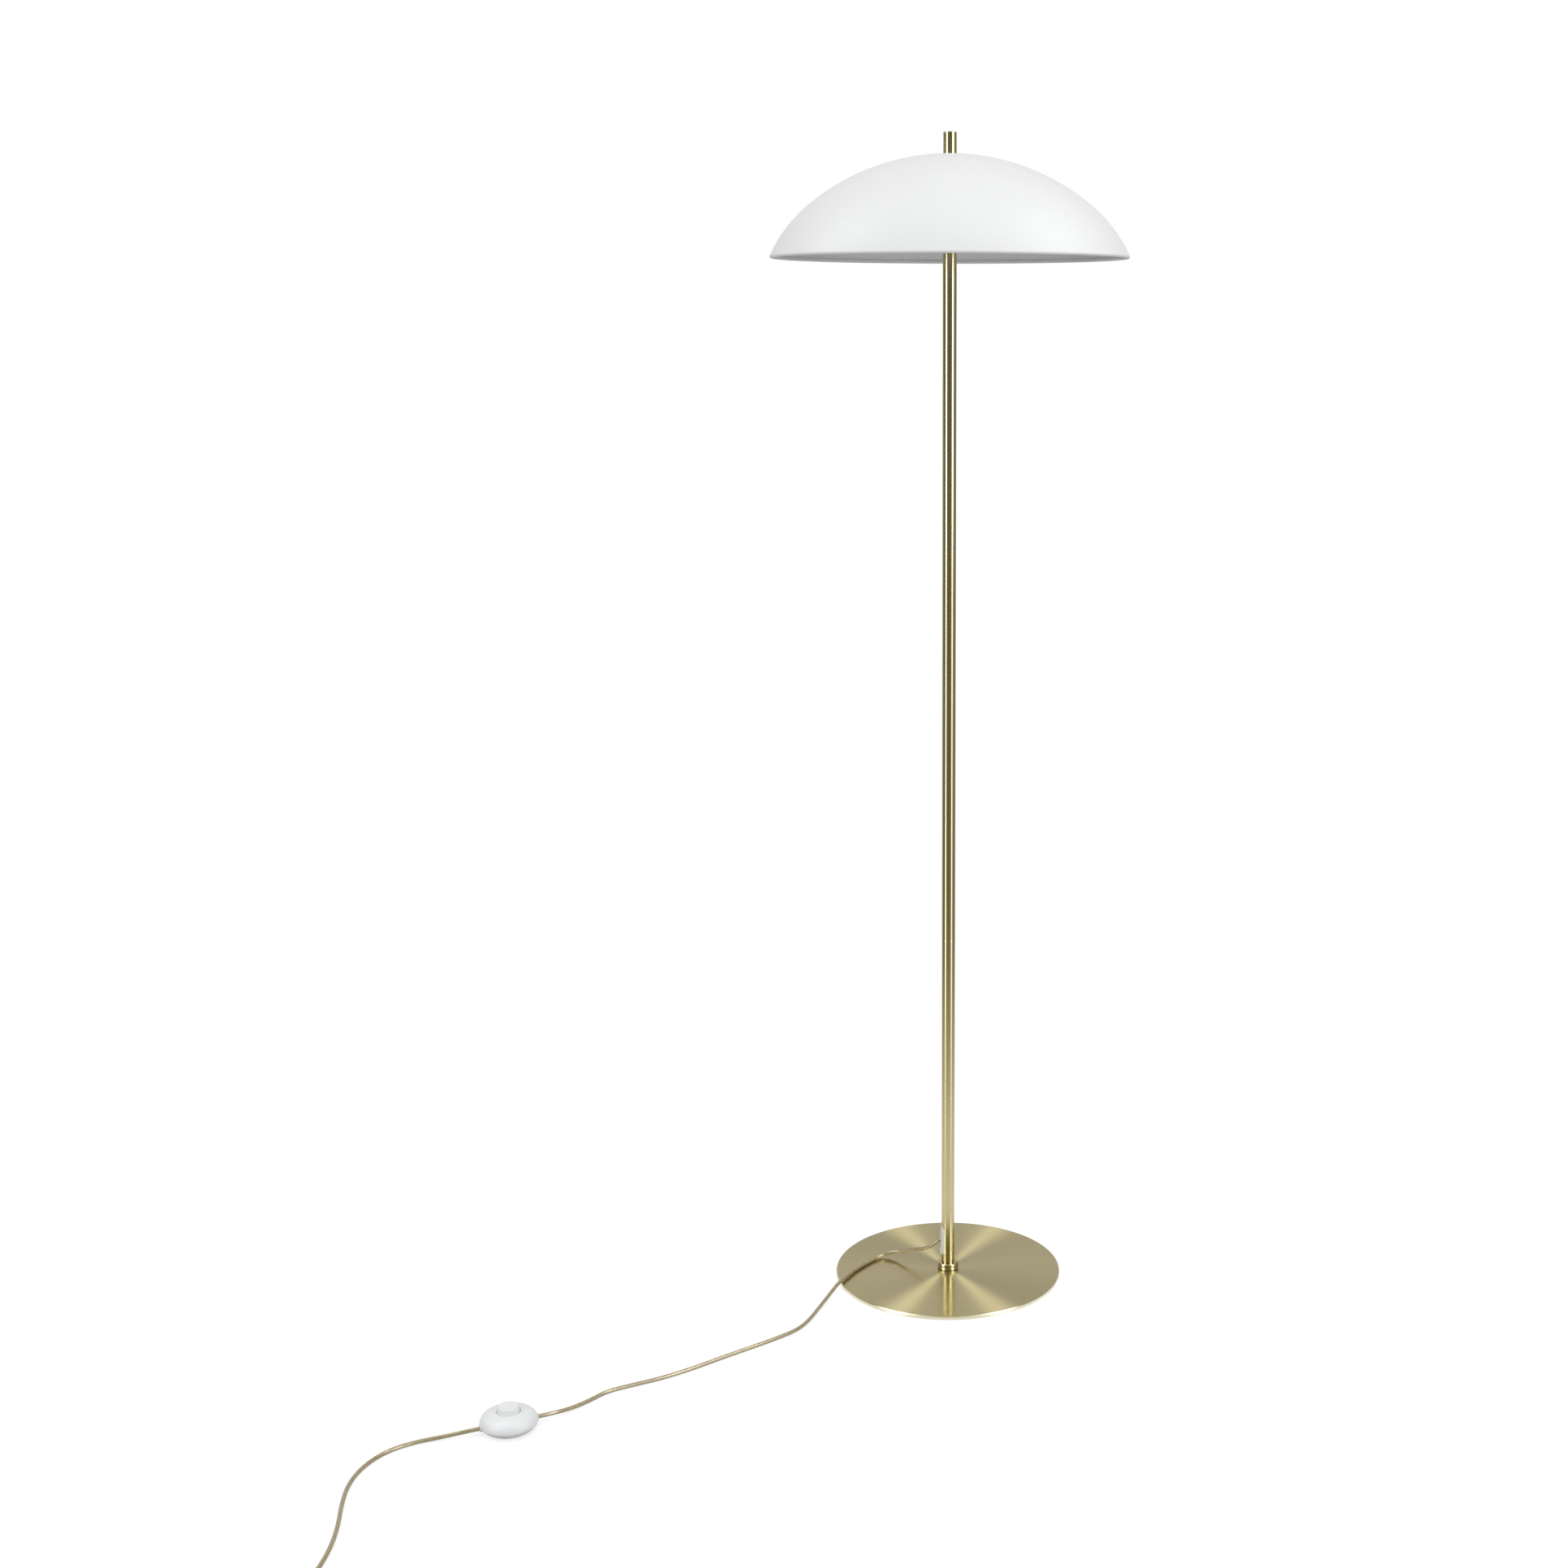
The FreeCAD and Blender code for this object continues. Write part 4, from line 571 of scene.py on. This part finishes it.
# Softboxes: name, degrees from the camera's side, distance, height, width, length, watts
SOFT_BOXES = [
    ("right_box", 57.0, 2.6, 1.6, 1.2, 1.8, 23.0),
    ("left_box", -55.0, 2.6, 1.6, 0.8, 1.8, 15.0),
    ("top_box", 20.0, 0.6, 3.2, 2.0, 2.0, 7.0),
]
# More of them that show only in gloss: stripes on the pole and the cores of the plate's highlights
GLOSS_BOXES = [
    ("right_strip", 89.0, 1.5, 2.6, 0.25, 1.2, 20.0),
    ("left_strip", -89.0, 1.5, 2.6, 0.25, 1.2, 20.0),
    ("right_core", 57.0, 2.5, 1.6, 0.35, 1.8, 10.0),
    ("left_core", -55.0, 2.5, 1.6, 0.3, 1.8, 11.0),
]
AIM_HEIGHT = 0.8                # where on the pole's axis the softboxes point


def make_floor():
    """A pale round floor. It keeps the lamp's shadow and is lifted to white around it."""
    ring = []
    for side in range(FLOOR_SIDES):
        angle = 2 * math.pi * side / FLOOR_SIDES
        ring.append((FLOOR_RADIUS * math.cos(angle), FLOOR_RADIUS * math.sin(angle), 0.0))
    mesh = bpy.data.meshes.new("floor")
    mesh.from_pydata(ring, [], [list(range(FLOOR_SIDES))])
    floor = bpy.data.objects.new("floor", mesh)
    bpy.context.collection.objects.link(floor)

    look = Finish("floor", [FLOOR_COLOR] * 3, 0.9, Specular_IOR_Level=0.1)
    inputs = look.shader.inputs
    rays = look.node("LightPath").outputs
    seen = look.math("MULTIPLY", rays["Is Camera Ray"], FLOOR_GLOW)
    mirrored = look.math("MULTIPLY", rays["Is Glossy Ray"], GLOSS_GLOW)
    inputs["Emission Color"].default_value = (*WHITE, 1.0)
    look.join(look.math("ADD", seen, mirrored), inputs["Emission Strength"])
    away = look.spread(look.length(look.spot), *FLOOR_IN_GLOSS)
    hidden = look.math("MULTIPLY", away, rays["Is Glossy Ray"])
    nothing = look.node("BsdfTransparent").outputs[0]
    surface = look.mixed(hidden, look.shader.outputs[0], nothing)
    look.join(surface, look.tree.nodes["Material Output"].inputs["Surface"])
    mesh.materials.append(look.material)


def ramp(graph, levels, source, peak, tint):
    """A grey by position. It is given as a share of the peak, because a ramp ends at 1."""
    item = graph.node("ValToRGB")
    stops = item.color_ramp.elements
    while len(stops) < len(levels):
        stops.new(0.5)
    for stop, (position, level) in zip(stops, levels):
        stop.position = position
        dim = 1.0 - min(level, 1.0)
        part = [level / peak * (1.0 + (side - 1.0) * dim) for side in tint]
        stop.color = (*part, 1.0)
    graph.join(source, item.inputs["Fac"])
    return item.outputs["Color"]


def background(graph, color, strength):
    item = graph.node("Background")
    graph.join(color, item.inputs["Color"])
    item.inputs["Strength"].default_value = strength
    return item.outputs[0]


def make_world():
    """White to the camera, even for plain light, a studio of bright and dark sides in gloss."""
    world = bpy.data.worlds.new("studio")
    bpy.context.scene.world = world
    graph = Graph(world)
    graph.tree.nodes.clear()
    rays = graph.node("LightPath").outputs
    direction = graph.node("SeparateXYZ")
    graph.join(graph.node("TexCoord").outputs["Generated"], direction.inputs[0])

    height = graph.spread(direction.outputs["Z"], -1.0, 1.0)
    plain = background(graph, ramp(graph, SKY, height, 1.0, WHITE), 1.0)

    to_camera = graph.math("MULTIPLY", direction.outputs["Y"], -1.0)
    angle = graph.math("ARCTAN2", direction.outputs["X"], to_camera)
    around = graph.spread(angle, -math.pi, math.pi)
    studio = [((degrees + 180) / 360, level) for degrees, level in STUDIO]
    sides = ramp(graph, studio, around, STUDIO_PEAK, DIM_TINT)
    gloss = background(graph, sides, STUDIO_PEAK)

    white = graph.node("Background")
    white.inputs["Color"].default_value = (*WHITE, 1.0)
    clear = graph.math("MAXIMUM", rays["Is Camera Ray"], rays["Is Transmission Ray"])
    lighting = graph.mixed(rays["Is Glossy Ray"], plain, gloss)
    surface = graph.mixed(clear, lighting, white.outputs[0])
    graph.join(surface, graph.node("OutputWorld").inputs["Surface"])


def soft_box(name, degrees, distance, height, width, length, watts):
    """A softbox at an angle from the camera's side, turned to the middle of the lamp."""
    data = bpy.data.lights.new(name, "AREA")
    data.shape = "RECTANGLE"
    data.size = width
    data.size_y = length
    data.energy = watts
    lamp = bpy.data.objects.new(name, data)
    bpy.context.collection.objects.link(lamp)
    angle = math.radians(degrees)
    lamp.location = (distance * math.sin(angle), -distance * math.cos(angle), height)
    aim = Vector((0.0, 0.0, AIM_HEIGHT)) - lamp.location
    lamp.rotation_mode = "QUATERNION"
    lamp.rotation_quaternion = aim.to_track_quat("-Z", "Y")
    return lamp


def make_lights():
    for box in SOFT_BOXES:
        soft_box(*box)
    for box in GLOSS_BOXES:
        soft_box(*box).visible_diffuse = False


# ---------------------------------------------------------------------------
# The scene
# ---------------------------------------------------------------------------
make_camera()
gold = cord_sheath()
finishes = make_finishes(gold)
dress_nodes(finishes)
return_spring = make_spring(finishes["switch_screws"])
make_cords(gold)
make_floor()
make_world()
make_lights()

bpy.context.scene.view_settings.view_transform = "Standard"
bpy.context.view_layer.update()
